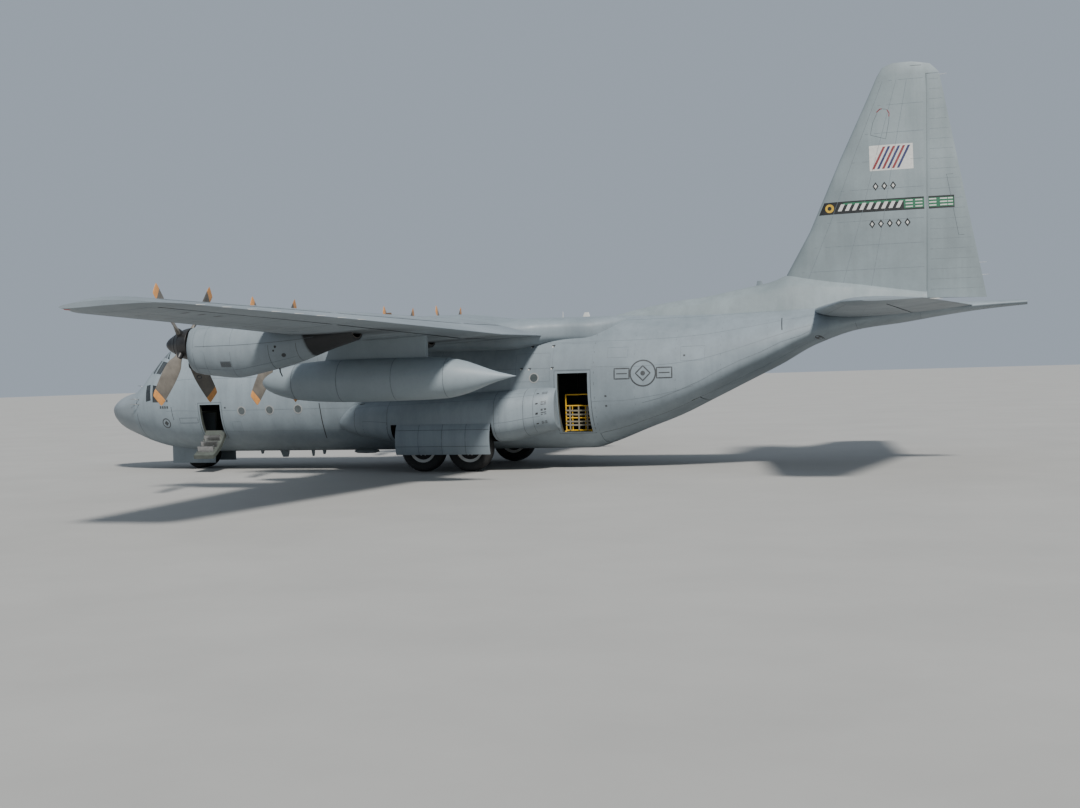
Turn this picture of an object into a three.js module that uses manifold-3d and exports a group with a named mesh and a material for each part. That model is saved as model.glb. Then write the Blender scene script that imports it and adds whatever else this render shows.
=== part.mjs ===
// A four-engined military transport aeroplane parked on its landing gear, as a 1:2 scale model.
// Every size below is the full-size one in millimetres; the outer group halves it.
// Axes: +X towards the nose, +Y to port, +Z up, origin on the ground under the middle of the box.
import * as THREE from "three";
import { mergeVertices } from "three/addons/utils/BufferGeometryUtils.js";
import Module from "manifold-3d";

const wasm = await Module();
wasm.setup();

// Driving sizes, full size in millimetres
const MODEL_SCALE = 0.5;
const LENGTH = 29790;
const HALF_SPAN = 20205;
const GAP = 0.6; // between faces that touch
const PIN_GAP = 1.5; // at the ends of hinge rods
const BEARING_GAP = 0.8; // round axles in their bores
const CLEAR = 14; // round pieces that move
const PAST = 50; // how far a cutter runs past the face it cuts
const FAR = 4000; // beyond the fuselage on every side
const WALL = 120; // fuselage wall, frames and skin together
const FLOOR_TOP = 1120;

// Stations are distances aft of the nose tip
const station = (s) => LENGTH / 2 - s;

// Colours
const GREY = 0x8f979c;
const DARK_GREY = 0x5c6266;
const TYRE = 0x1c1c1d;
const SILVER = 0xc4c6c6;
const YELLOW = 0xd7a422;
const GLASS = 0x2a3a3e;
const PROPELLER_GREY = 0x6c6864;
const FINISH = {
  paint: { roughness: 0.55, metalness: 0.1 },
  steel: { roughness: 0.35, metalness: 0.9 },
  rubber: { roughness: 0.9, metalness: 0 },
  glass: { roughness: 0.08, metalness: 0 },
};

const aircraft = new THREE.Group();
aircraft.scale.setScalar(MODEL_SCALE);

// Solids and meshes
function solidOf(geometry) {
  const bare = geometry.index ? geometry.toNonIndexed() : geometry.clone();
  bare.deleteAttribute("normal");
  bare.deleteAttribute("uv");
  const merged = mergeVertices(bare, 1e-3);
  return new wasm.Manifold(
    new wasm.Mesh({
      numProp: 3,
      vertProperties: merged.attributes.position.array,
      triVerts: new Uint32Array(merged.index.array),
    }),
  );
}

function geometryOf(solid) {
  const mesh = solid.getMesh();
  const geometry = new THREE.BufferGeometry();
  geometry.setAttribute("position", new THREE.BufferAttribute(mesh.vertProperties, 3));
  geometry.setIndex(new THREE.BufferAttribute(mesh.triVerts, 1));
  geometry.computeVertexNormals();
  return geometry;
}

function addNode(name, solid, color, finish, parent = aircraft) {
  const material = new THREE.MeshStandardMaterial({ color, ...FINISH[finish] });
  const mesh = new THREE.Mesh(geometryOf(solid), material);
  mesh.name = name;
  parent.add(mesh);
  return mesh;
}

// Triangles of a flat ring's cap, found in the plane that shows the ring largest
function capTriangles(ring) {
  const normal = new THREE.Vector3();
  ring.forEach((p, i) => {
    const q = ring[(i + 1) % ring.length];
    normal.x += (p[1] - q[1]) * (p[2] + q[2]);
    normal.y += (p[2] - q[2]) * (p[0] + q[0]);
    normal.z += (p[0] - q[0]) * (p[1] + q[1]);
  });
  const size = [Math.abs(normal.x), Math.abs(normal.y), Math.abs(normal.z)];
  const drop = size.indexOf(Math.max(...size));
  const flat = ring.map((p) => new THREE.Vector2(...p.filter((_, axis) => axis !== drop)));
  return THREE.ShapeUtils.triangulateShape(flat, []);
}

// Twice the area of the triangle from the origin to an edge, summed over the three planes
const edgeTurn = (a, b) =>
  a[1] * b[2] - a[2] * b[1] +
  (a[2] * b[0] - a[0] * b[2]) +
  (a[0] * b[1] - a[1] * b[0]);
const outlineTurn = (points) =>
  points.reduce((sum, p, i) => sum + edgeTurn(p, points[(i + 1) % points.length]), 0);

// A closed solid through rings that all have the same number of points
function loft(rings) {
  const count = rings[0].length;
  const points = rings.flat();
  const faces = [];
  for (let i = 0; i < rings.length - 1; i++) {
    for (let j = 0; j < count; j++) {
      const a = i * count + j;
      const b = i * count + ((j + 1) % count);
      faces.push([a, b, b + count], [a, b + count, a + count]);
    }
  }
  const cap = (ring, base, outward) => {
    for (const [a, b, c] of capTriangles(ring)) {
      const turn = Math.sign(outlineTurn(ring)) * Math.sign(outlineTurn([ring[a], ring[b], ring[c]]));
      const flip = turn < 0 ? !outward : outward;
      faces.push(flip ? [base + a, base + b, base + c] : [base + a, base + c, base + b]);
    }
  };
  cap(rings[0], 0, false);
  cap(rings.at(-1), (rings.length - 1) * count, true);
  return closedSolid(points, faces);
}

function closedSolid(points, faces) {
  const corner = new THREE.Vector3();
  const volume = faces.reduce((sum, [a, b, c]) => {
    const [p, q, r] = [a, b, c].map((i) => new THREE.Vector3(...points[i]));
    return sum + p.dot(corner.crossVectors(q, r));
  }, 0);
  const geometry = new THREE.BufferGeometry();
  geometry.setAttribute("position", new THREE.Float32BufferAttribute(points.flat(), 3));
  geometry.setIndex(faces.flatMap(([a, b, c]) => (volume > 0 ? [a, b, c] : [a, c, b])));
  return solidOf(geometry);
}

// A box between two stations, two widths and two heights
function box(s0, s1, y0, y1, z0, z1) {
  const geometry = new THREE.BoxGeometry(s1 - s0, y1 - y0, z1 - z0);
  geometry.translate(station((s0 + s1) / 2), (y0 + y1) / 2, (z0 + z1) / 2);
  return solidOf(geometry);
}

// A round bar between two points [x, y, z]
function bar(from, to, radius, sides = 12) {
  const a = new THREE.Vector3(...from);
  const b = new THREE.Vector3(...to);
  const geometry = new THREE.CylinderGeometry(radius, radius, a.distanceTo(b), sides);
  const turn = new THREE.Quaternion().setFromUnitVectors(
    new THREE.Vector3(0, 1, 0),
    b.clone().sub(a).normalize(),
  );
  geometry.applyQuaternion(turn);
  geometry.translate(...a.add(b).multiplyScalar(0.5));
  return solidOf(geometry);
}

// A flat plate: an outline in stations and heights, thick across the width
function plate(outline, y0, y1) {
  return loft([y0, y1].map((y) => outline.map(([s, z]) => [station(s), y, z])));
}

const signedPower = (value, power) => Math.sign(value) * Math.abs(value) ** power;
const union = (solids) => solids.reduce((all, one) => all.add(one));
const mirrorY = (solid, side) => (side > 0 ? solid : solid.mirror([0, 1, 0]));
const lerp = THREE.MathUtils.lerp;

// A row of a table whose first column is the position, found by straight lines between rows
function rowAt(table, position) {
  const last = table.length - 1;
  if (position <= table[0][0]) return [position, ...table[0].slice(1)];
  if (position >= table[last][0]) return [position, ...table[last].slice(1)];
  const i = table.findIndex((row) => row[0] > position) - 1;
  const t = (position - table[i][0]) / (table[i + 1][0] - table[i][0]);
  return table[i].map((value, column) => lerp(value, table[i + 1][column], t));
}

// Fuselage sections: station, half width, top, bottom, height of greatest width, squareness below
const FUSELAGE = [
  [0, 60, 2100, 1965, 2030, 2],
  [90, 260, 2200, 1785, 2030, 2],
  [350, 630, 2370, 1555, 2050, 2],
  [800, 1135, 2570, 1300, 2080, 2],
  [1350, 1480, 2705, 1095, 2140, 2.1],
  [1900, 1720, 3105, 885, 2220, 2.1],
  [2500, 1922, 3900, 735, 2340, 2.2],
  [3200, 2060, 4420, 645, 2460, 2.3],
  [3900, 2130, 4550, 580, 2540, 2.4],
  [4600, 2160, 4570, 555, 2560, 2.5],
  [6200, 2160, 4570, 555, 2560, 2.5],
  [17400, 2160, 4570, 560, 2560, 2.5],
  [17900, 2150, 4580, 700, 2560, 2.5],
  [18900, 2130, 4600, 1088, 2520, 2.8],
  [20000, 2090, 4600, 1504, 2570, 2.8],
  [20980, 2030, 4600, 1972, 2720, 2.8],
  [22000, 1930, 4600, 2462, 3060, 2.6],
  [23000, 1780, 4600, 2945, 3460, 2.5],
  [24000, 1600, 4600, 3488, 3830, 2.4],
  [25300, 1300, 4590, 3900, 4130, 2.2],
  [26500, 1000, 4580, 4040, 4290, 2.1],
  [27600, 740, 4570, 4200, 4380, 2],
  [28800, 440, 4560, 4340, 4450, 2],
  [29790, 180, 4550, 4413, 4490, 2],
];
const FUSELAGE_SIDES = 32;

function fuselagePoint(s, angle, inset) {
  const [, halfWidth, top, bottom, widest, power] = rowAt(FUSELAGE, s);
  const c = Math.cos(angle);
  const n = Math.sin(angle);
  if (n >= 0) return [station(s), (halfWidth - inset) * c, widest + (top - inset - widest) * n];
  const y = (halfWidth - inset) * signedPower(c, 2 / power);
  return [station(s), y, widest + (widest - bottom - inset) * signedPower(n, 2 / power)];
}

function fuselageRing(s, inset) {
  const turn = (2 * Math.PI) / FUSELAGE_SIDES;
  return Array.from({ length: FUSELAGE_SIDES }, (_, j) => fuselagePoint(s, j * turn, inset));
}

function barrel(s0, s1, inset = 0) {
  const between = FUSELAGE.map((row) => row[0]).filter((s) => s > s0 + 1 && s < s1 - 1);
  return loft([s0, ...between, s1].map((s) => fuselageRing(s, inset)));
}

// Half width of the wall's inset surface at a height in its lower half
function lowerHalfWidth(s, z, inset) {
  const [, halfWidth, , bottom, widest, power] = rowAt(FUSELAGE, s);
  const share = (widest - z) / (widest - bottom - inset);
  return (halfWidth - inset) * (1 - share ** power) ** (1 / power);
}

const shell = (s0, s1) => barrel(s0, s1).subtract(barrel(s0 - PAST, s1 + PAST, WALL));

// A cutter through the wall inside an outline of stations and angles, 0 at port and 90 at the top
const CUT_OUTSIDE = -140;
const CUT_INSIDE = WALL + 90;
function wallCutter(outline) {
  return loft(
    [CUT_OUTSIDE, CUT_INSIDE].map((inset) =>
      outline.map(([s, degrees]) => fuselagePoint(s, THREE.MathUtils.degToRad(degrees), inset)),
    ),
  );
}

// Lifting surfaces: each has span rows and a function that places a section point
const CHORD_STEPS = [0, 0.012, 0.05, 0.14, 0.28, 0.45, 0.62, 0.8, 1];
const halfThickness = (x) =>
  5 * (0.2969 * Math.sqrt(x) - 0.126 * x - 0.3516 * x ** 2 + 0.2843 * x ** 3 - 0.1015 * x ** 4);
const camberLine = (x) => 4 * x * (1 - x);

// Rows: span position, leading edge station, chord, height or offset of the chord, thickness, camber,
// incidence
const OUTER_WING_START = 5590;
const ROOT_CHORD = 4880;
const TIP_CHORD = 2480;
const QUARTER_CHORD_STATION = 12620;
const WING_HEIGHT = 4230;
const DIHEDRAL = THREE.MathUtils.degToRad(1.34);
const WING_CAMBER = 0.02;
const wingRow = (span, chord, thickness, incidence) => [
  span,
  QUARTER_CHORD_STATION - chord / 4,
  chord,
  WING_HEIGHT + Math.max(0, span - OUTER_WING_START) * Math.tan(DIHEDRAL),
  thickness,
  WING_CAMBER,
  THREE.MathUtils.degToRad(incidence),
];
const chordAt = (span) =>
  lerp(ROOT_CHORD, TIP_CHORD, (span - OUTER_WING_START) / (HALF_SPAN - OUTER_WING_START));
const TIP_START = 19750;
const TIP_END_CHORD = chordAt(TIP_START) * 0.86;
const WING = [
  wingRow(0, ROOT_CHORD, 0.17, 3),
  wingRow(OUTER_WING_START, ROOT_CHORD, 0.17, 3),
  wingRow(TIP_START, chordAt(TIP_START), 0.12, 0.3),
  wingRow(HALF_SPAN, TIP_END_CHORD, 0.05, 0),
];
const TAILPLANE_TIP = 8025;
const TAILPLANE_HEIGHT = 4450;
const TAILPLANE = [
  [0, 23966, 4473, TAILPLANE_HEIGHT, 0.11, 0, 0],
  [7650, 25499, 1953, TAILPLANE_HEIGHT, 0.1, 0, 0],
  [TAILPLANE_TIP, 26000, 1350, TAILPLANE_HEIGHT, 0.04, 0, 0],
];
const FIN_TOP = 11505;
const FIN = [
  [4500, 22990, 5780, 0, 0.11, 0, 0],
  [5571, 23301, 5364, 0, 0.11, 0, 0],
  [6797, 24005, 4515, 0, 0.11, 0, 0],
  [8839, 24929, 3301, 0, 0.11, 0, 0],
  [10599, 25776, 2154, 0, 0.11, 0, 0],
  [11150, 26030, 1690, 0, 0.11, 0, 0],
  [11400, 26190, 1300, 0, 0.09, 0, 0],
  [FIN_TOP, 26450, 550, 0, 0.05, 0, 0],
];

const acrossSpan = (side) => (row, u, v) => {
  const [span, lead, chord, height, , , incidence] = row;
  const pivot = chord / 4;
  const back = (u - pivot) * Math.cos(incidence) - v * Math.sin(incidence);
  const up = -(u - pivot) * Math.sin(incidence) + v * Math.cos(incidence);
  return [station(lead + pivot + back), side * span, height + up];
};
const upSpan = (row, u, v) => [station(row[1] + u), v, row[0]];

const upperAt = (row, x) => row[2] * (row[5] * camberLine(x) + row[4] * halfThickness(x));
const lowerAt = (row, x) => row[2] * (row[5] * camberLine(x) - row[4] * halfThickness(x));

// A section outline from the trailing edge over the top to the nose and back below
function sectionLoop(row) {
  const upper = CHORD_STEPS.map((x) => [x * row[2], upperAt(row, x)]).reverse();
  const lower = CHORD_STEPS.slice(1).map((x) => [x * row[2], lowerAt(row, x)]);
  return [...upper, ...lower];
}

function grownLoop(loop, distance) {
  const count = loop.length;
  return loop.map(([u, v], i) => {
    const [pu, pv] = loop[(i + count - 1) % count];
    const [nu, nv] = loop[(i + 1) % count];
    const [tu, tv] = [nu - pu, nv - pv];
    const size = Math.hypot(tu, tv);
    return [u + (tv / size) * distance, v - (tu / size) * distance];
  });
}

// The solid of a lifting surface between two span positions, grown all round when it is a cutter
function liftingSolid(table, place, from, to, grow = 0) {
  const between = table.map((row) => row[0]).filter((span) => span > from + 1 && span < to - 1);
  return loft(
    [from, ...between, to].map((span) => {
      const row = rowAt(table, span);
      const loop = sectionLoop(row);
      const outline = grow ? grownLoop(loop, grow) : loop;
      return outline.map(([u, v]) => place(row, u, v));
    }),
  );
}

// Control surfaces turn about the middle of their round nose
const NOSE_STEPS = 6;
const SURFACE_ROD = 24;
const hingeOf = (row, hingeStation) => {
  const u = hingeStation - row[1];
  const x = u / row[2];
  return { u, x, v: row[2] * row[5] * camberLine(x), radius: row[2] * row[4] * halfThickness(x) * 0.97 };
};
const arc = (hinge, radius, from, to, steps) =>
  Array.from({ length: steps + 1 }, (_, i) => {
    const angle = THREE.MathUtils.degToRad(lerp(from, to, i / steps));
    return [hinge.u + radius * Math.cos(angle), hinge.v + radius * Math.sin(angle)];
  });

function surfaceLoop(row, hingeStation) {
  const hinge = hingeOf(row, hingeStation);
  const steps = [lerp(hinge.x, 1, 0.35), lerp(hinge.x, 1, 0.7), 1];
  return [
    ...arc(hinge, hinge.radius, 90, 270, NOSE_STEPS),
    ...steps.map((x) => [x * row[2], lowerAt(row, x)]),
    ...steps.toReversed().map((x) => [x * row[2], upperAt(row, x)]),
  ];
}

// The room ahead of a surface, its lips cut back along the skin at the surface's limits
function coveLoop(row, hingeStation, limits) {
  const hinge = hingeOf(row, hingeStation);
  const ring = arc(hinge, hinge.radius + CLEAR, 90 + limits.up, 270 - limits.down, NOSE_STEPS);
  const beyond = ([u, v], degrees) => {
    const angle = THREE.MathUtils.degToRad(degrees);
    return [u + row[2] * Math.cos(angle), v + row[2] * Math.sin(angle)];
  };
  return [...ring, beyond(ring.at(-1), -limits.down), beyond(ring[0], limits.up)];
}

// Builds one hinged surface and the cutter of the room it turns in, both cut square to the hinge line
function hingedSurface(table, place, [from, to], hingeAt, limits) {
  const ends = [from, to].map((span) => ({ row: rowAt(table, span), s: hingeAt(span) }));
  const hinges = ends.map(({ row, s }) => {
    const { u, v } = hingeOf(row, s);
    return new THREE.Vector3(...place(row, u, v));
  });
  const along = hinges[1].clone().sub(hinges[0]).normalize();
  const squared = (outline, trim) => {
    const rings = ends.map(({ row, s }) =>
      outline(row, s).map(([u, v]) => new THREE.Vector3(...place(row, u, v))),
    );
    return hinges.map((hinge, end) => {
      const level = along.dot(hinge) + (end === 0 ? trim : -trim);
      return rings[0].map((start, j) => {
        const ruling = rings[1][j].clone().sub(start);
        const t = (level - along.dot(start)) / along.dot(ruling);
        return start.clone().addScaledVector(ruling, t).toArray();
      });
    });
  };
  const rodLoop = (row, s) => arc(hingeOf(row, s), SURFACE_ROD, 0, 315, 7);
  const surface = loft(squared(surfaceLoop, CLEAR)).add(loft(squared(rodLoop, PIN_GAP)));
  const cutter = loft(squared((row, s) => coveLoop(row, s, limits), 0));
  return { surface, cutter };
}

// Fuselage joints
const RADOME_END = 1800;
const NOSE_END = 6200;
const FORWARD_END = 11300;
const CENTER_END = 17900;
const REAR_END = 25300;
const FIREWALL = 150;

// Nose gear bay and gear
const NOSE_GEAR_STATION = 3500;
const BAY = { s0: 2650, s1: 4420, half: 720, roof: 1900, skin: 25 };
const NOSE_WHEEL = { radius: 495, width: 300, middle: 260 };

// Main gear bay and gear
const MAIN_AXLES = [12510, 14030];
const MAIN_TRACK_HALF = 2175;
const MAIN_WHEEL = { radius: 710, width: 480 };
const WELL = { s0: 11640, s1: 14960, inner: 1580, outer: 2540, roof: 1960, skin: 40 };
const GEAR_DOOR_TOP = 1460;

// Doors
const CREW_DOOR = { s0: 4620, s1: 5370, z0: FLOOR_TOP, z1: 2190 };
const CREW_HINGE = { y: 1745, z: 1152 };
const CREW_OPEN_DEGREES = 108;
const PARATROOP_DOOR = { s0: 16790, s1: 17710, z0: FLOOR_TOP, z1: 2880 };
const DOORWAY = { inner: 700, outer: 3000 }; // the widths between which a doorway is cut

// Cockpit windows on the port side, each an outline of stations and angles in degrees
const SIDE_WINDOWS = [
  [[2430, 0], [2660, 0], [2600, 19], [2400, 22]],
  [[2730, -2], [2970, -3], [2960, 13], [2710, 17]],
  [[2530, 36], [2670, 31], [2820, 45], [2680, 51]],
  [[2740, 30], [2990, 25], [3210, 36], [2890, 43]],
  [[2630, 57], [3010, 44.5], [2915, 59], [2790, 61]],
  [[3065, 43], [3200, 39.5], [3010, 56.5], [2955, 58.5]],
  [[2190, 57], [2480, 40], [2635, 52], [2545, 62]],
  [[2045, 76], [2160, 60], [2515, 65], [2430, 76]],
];
const MIDDLE_WINDOW = [[2010, 80], [2010, 100], [2420, 100], [2420, 80]];

// Wings
const port = acrossSpan(1);
const starboard = acrossSpan(-1);
const sides = [
  ["left", 1, port],
  ["right", -1, starboard],
];
const HINGE_FRACTION = 0.76;
const wingHinge = (span) => {
  const row = rowAt(WING, span);
  return row[1] + HINGE_FRACTION * row[2];
};
const INBOARD_FLAP = [2350, 5450];
const OUTBOARD_FLAP = [5720, 12650];
const AILERON = [12900, 19600];
// Degrees that each surface turns, its trailing edge up or down
const FLAP_LIMITS = { up: 0, down: 36 };
const AILERON_LIMITS = { up: 25, down: 15 };
const ELEVATOR_LIMITS = { up: 40, down: 20 };
const RUDDER_LIMITS = { up: 35, down: 35 };
const centerPort = liftingSolid(WING, port, 0, OUTER_WING_START - GAP / 2);
const centerStarboard = liftingSolid(WING, starboard, 0, OUTER_WING_START - GAP / 2);
let wingCenter = centerPort.add(centerStarboard);
const wingCutter = union([
  liftingSolid(WING, port, 0, HALF_SPAN, GAP),
  liftingSolid(WING, starboard, 0, HALF_SPAN, GAP),
]);
for (const [sideName, , place] of sides) {
  const inboard = hingedSurface(WING, place, INBOARD_FLAP, wingHinge, FLAP_LIMITS);
  const outboard = hingedSurface(WING, place, OUTBOARD_FLAP, wingHinge, FLAP_LIMITS);
  const aileron = hingedSurface(WING, place, AILERON, wingHinge, AILERON_LIMITS);
  wingCenter = wingCenter.subtract(inboard.cutter);
  const outer = liftingSolid(WING, place, OUTER_WING_START + GAP / 2, HALF_SPAN)
    .subtract(outboard.cutter)
    .subtract(aileron.cutter);
  addNode("wing_outer_" + sideName, outer, GREY, "paint");
  addNode("flap_inboard_" + sideName, inboard.surface, GREY, "paint");
  addNode("flap_outboard_" + sideName, outboard.surface, GREY, "paint");
  addNode("aileron_" + sideName, aileron.surface, GREY, "paint");
}
addNode("wing_center", wingCenter, GREY, "paint");

// Fairing over the wing root: station, half width, top, bottom
const FAIRING = [
  [10700, 1500, 4600, 4130],
  [11150, 1950, 4700, 3780],
  [12000, 2230, 4820, 3580],
  [13500, 2250, 4820, 3530],
  [14300, 2250, 4710, 3530],
  [15200, 2240, 4610, 3530],
  [16300, 2090, 4596, 3700],
  [17200, 1600, 4586, 4000],
  [17880, 800, 4584, 4380],
];
const ROUND_SIDES = 20;
const FAIRING_SQUARENESS = 0.6;
const fairingRing = ([s, half, top, bottom]) => {
  const middle = (top + bottom) / 2;
  const height = (top - bottom) / 2;
  return Array.from({ length: ROUND_SIDES }, (_, j) => {
    const angle = (j * 2 * Math.PI) / ROUND_SIDES;
    const across = signedPower(Math.cos(angle), FAIRING_SQUARENESS);
    const up = signedPower(Math.sin(angle), FAIRING_SQUARENESS);
    return [station(s), half * across, middle + height * up];
  });
};
const fairing = loft(FAIRING.map(fairingRing))
  .subtract(barrel(NOSE_END, REAR_END, -GAP))
  .subtract(wingCutter);
addNode("wing_fairing", fairing, GREY, "paint");

// Tail
// The rudder's hinge leans aft going up, the elevators' hinges sweep forward going out
const rudderHinge = (height) => 27088 + 0.028 * height;
const elevatorHinge = (span) => 26860 - 0.045 * span;
const RUDDER = [4700, 11120];
const ELEVATOR = [1050, 7300];
const rudder = hingedSurface(FIN, upSpan, RUDDER, rudderHinge, RUDDER_LIMITS);
const bothSides = (table, tip, grow) =>
  liftingSolid(table, port, 0, tip, grow).add(liftingSolid(table, starboard, 0, tip, grow));
const tailplaneCutter = bothSides(TAILPLANE, TAILPLANE_TIP, GAP);
let tailplane = bothSides(TAILPLANE, TAILPLANE_TIP, 0);
for (const [sideName, , place] of sides) {
  const elevator = hingedSurface(TAILPLANE, place, ELEVATOR, elevatorHinge, ELEVATOR_LIMITS);
  tailplane = tailplane.subtract(elevator.cutter);
  addNode("elevator_" + sideName, elevator.surface, GREY, "paint");
}
addNode("tailplane", tailplane, GREY, "paint");
addNode("rudder", rudder.surface, GREY, "paint");

// Dorsal ridge ahead of and beside the fin: station, ridge height, half width at the base
const DORSAL = [
  [18150, 4610, 480],
  [18900, 4770, 620],
  [20000, 4950, 740],
  [20900, 5040, 790],
  [21830, 5205, 820],
  [22900, 5400, 820],
  [23350, 5560, 800],
  [25000, 5420, 640],
  [27180, 5000, 380],
];
const DORSAL_BASE = 4200;
const dorsal = loft(
  DORSAL.map(([s, ridge, half]) => {
    const shoulder = lerp(DORSAL_BASE, ridge, 0.62);
    const side = [
      [half, DORSAL_BASE],
      [half * 0.78, shoulder],
      [half * 0.3, lerp(shoulder, ridge, 0.8)],
    ];
    const outline = [...side, [0, ridge], ...side.toReversed().map(([y, z]) => [-y, z])];
    return outline.map(([y, z]) => [station(s), y, z]);
  }),
);
// The fin stops at the rudder's foot behind the hinge
const belowRudder = box(rudderHinge(RUDDER[0]) - 40, LENGTH + PAST, -FAR, FAR, 0, RUDDER[0]);
const fin = liftingSolid(FIN, upSpan, FIN[0][0], FIN_TOP)
  .add(dorsal)
  .subtract(rudder.cutter)
  .subtract(belowRudder)
  .subtract(barrel(CENTER_END, LENGTH, -GAP))
  .subtract(tailplaneCutter);
addNode("fin", fin, GREY, "paint");

const tailCone = barrel(REAR_END + GAP, LENGTH).subtract(tailplaneCutter);
addNode("tail_cone", tailCone, GREY, "paint");

// Ramp and upper cargo door, closed: their outlines in stations and heights
const RAMP_HALF = 1510;
const RAMP_HINGE = { s: 17945, z: 810 };
const RAMP_LUG = { inner: 600, outer: 640, radius: 42 };
const RAMP_LIP = { s: 20960, top: 2330 };
const DOOR_HINGE = { s: 24300, z: 3700 };
const HINGE_ROD = 30;
const rearSlope = (s) => rowAt(FUSELAGE, s)[3];
const UNDER = 300; // a height below the rear skin
const RAMP_HEEL = 420; // how far the ramp's foot is cut back to turn past the hold's end
const rampOutline = [
  [CENTER_END + CLEAR + RAMP_HEEL, UNDER],
  [CENTER_END + CLEAR, RAMP_HINGE.z],
  [CENTER_END + CLEAR, FLOOR_TOP],
  [RAMP_LIP.s - 240, RAMP_LIP.top],
  [RAMP_LIP.s, rearSlope(RAMP_LIP.s)],
  [RAMP_LIP.s + 160, rearSlope(RAMP_LIP.s) - 400],
  [RAMP_LIP.s + 160, UNDER],
];
const DOOR_THICKNESS = 330;
const DOOR_MIDDLE = 22500;
const doorOutline = [
  [RAMP_LIP.s + 200, rearSlope(RAMP_LIP.s) - 400],
  [RAMP_LIP.s + CLEAR + 10, rearSlope(RAMP_LIP.s)],
  [RAMP_LIP.s - 190, RAMP_LIP.top],
  [DOOR_MIDDLE, rearSlope(DOOR_MIDDLE) + DOOR_THICKNESS + 40],
  [DOOR_HINGE.s - 120, rearSlope(DOOR_HINGE.s - 120) + DOOR_THICKNESS],
  [DOOR_HINGE.s + 60, DOOR_HINGE.z + 20],
  [DOOR_HINGE.s + 60, UNDER],
];
const DOOR_HALF_AFT = 1080;
const doorLength = DOOR_HINGE.s - RAMP_LIP.s;
const doorHalf = (s) => lerp(RAMP_HALF, DOOR_HALF_AFT, (s - RAMP_LIP.s) / doorLength);
const tapered = (outline, grow = 0) => {
  const half = (s) => doorHalf(s) + grow;
  return loft([-1, 1].map((side) => outline.map(([s, z]) => [station(s), side * half(s), z])));
};
const hingeRod = ({ s, z }, half) =>
  bar([station(s), -half, z], [station(s), half, z], HINGE_ROD);
const rearSolid = barrel(CENTER_END, REAR_END);
const lugReach = RAMP_LUG.radius + CLEAR;
const lugSlot = (side) =>
  mirrorY(
    box(
      CENTER_END,
      RAMP_HINGE.s + lugReach,
      RAMP_LUG.inner - CLEAR,
      RAMP_LUG.outer + CLEAR,
      0,
      RAMP_HINGE.z + lugReach,
    ),
    side,
  );
const rampLug = (side) =>
  mirrorY(
    bar(
      [station(RAMP_HINGE.s), RAMP_LUG.inner, RAMP_HINGE.z],
      [station(RAMP_HINGE.s), RAMP_LUG.outer, RAMP_HINGE.z],
      RAMP_LUG.radius,
    ).add(
      box(
        CENTER_END - 20,
        RAMP_HINGE.s,
        RAMP_LUG.inner,
        RAMP_LUG.outer,
        RAMP_HINGE.z - 40,
        RAMP_HINGE.z + 40,
      ),
    ),
    side,
  );
const ramp = rearSolid
  .intersect(plate(rampOutline, -RAMP_HALF, RAMP_HALF))
  .subtract(lugSlot(1))
  .subtract(lugSlot(-1))
  .add(hingeRod(RAMP_HINGE, RAMP_LUG.inner - PIN_GAP));
// The wall beside the door rod narrows aft, so the rod ends where its own edge meets the gap
const doorTaper = (RAMP_HALF - DOOR_HALF_AFT) / doorLength;
const doorRodHalf = DOOR_HALF_AFT + CLEAR - HINGE_ROD * doorTaper - PIN_GAP;
const cargoDoor = rearSolid.intersect(tapered(doorOutline)).add(hingeRod(DOOR_HINGE, doorRodHalf));
addNode("cargo_ramp", ramp, GREY, "paint");
addNode("cargo_door", cargoDoor, GREY, "paint");

// Fuselage shells
const rampRoom = plate(
  [
    [CENTER_END - PAST, 0],
    [CENTER_END - PAST, FLOOR_TOP + 400],
    [RAMP_LIP.s, RAMP_LIP.top + 400],
    [RAMP_LIP.s, 0],
  ],
  -RAMP_HALF - CLEAR,
  RAMP_HALF + CLEAR,
);
const doorRoomAft = DOOR_HINGE.s + 60 + CLEAR;
const cargoDoorRoom = tapered(
  [
    [RAMP_LIP.s - 300, 0],
    [RAMP_LIP.s - 300, RAMP_LIP.top + 300],
    [doorRoomAft, rearSlope(doorRoomAft) + 420],
    [doorRoomAft, 0],
  ],
  CLEAR,
);
const fuselageRear = barrel(CENTER_END, REAR_END)
  .subtract(barrel(CENTER_END - PAST, REAR_END - FIREWALL, WALL))
  .subtract(rampRoom)
  .subtract(cargoDoorRoom)
  .subtract(tailplaneCutter);
addNode("fuselage_rear", fuselageRear, GREY, "paint");

const doorBox = ({ s0, s1, z0, z1 }, side, shrink = 0) =>
  mirrorY(
    box(s0 + shrink, s1 - shrink, DOORWAY.inner, DOORWAY.outer, z0 + shrink, z1 - shrink),
    side,
  );

const LINER_OUTER = 2400;
const linerBox = (side, grow = 0) =>
  mirrorY(
    box(WELL.s0 - grow, WELL.s1 + grow, WELL.inner - grow, LINER_OUTER, 0, WELL.roof + grow),
    side,
  );
const fuselageCenter = shell(FORWARD_END + GAP, CENTER_END - GAP)
  .subtract(wingCutter)
  .subtract(doorBox(PARATROOP_DOOR, 1))
  .subtract(doorBox(PARATROOP_DOOR, -1))
  .subtract(linerBox(1, GAP))
  .subtract(linerBox(-1, GAP))
  .add(rampLug(1))
  .add(rampLug(-1));
addNode("fuselage_center", fuselageCenter, GREY, "paint");
addNode("fuselage_forward", shell(NOSE_END + GAP, FORWARD_END), GREY, "paint");

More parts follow.
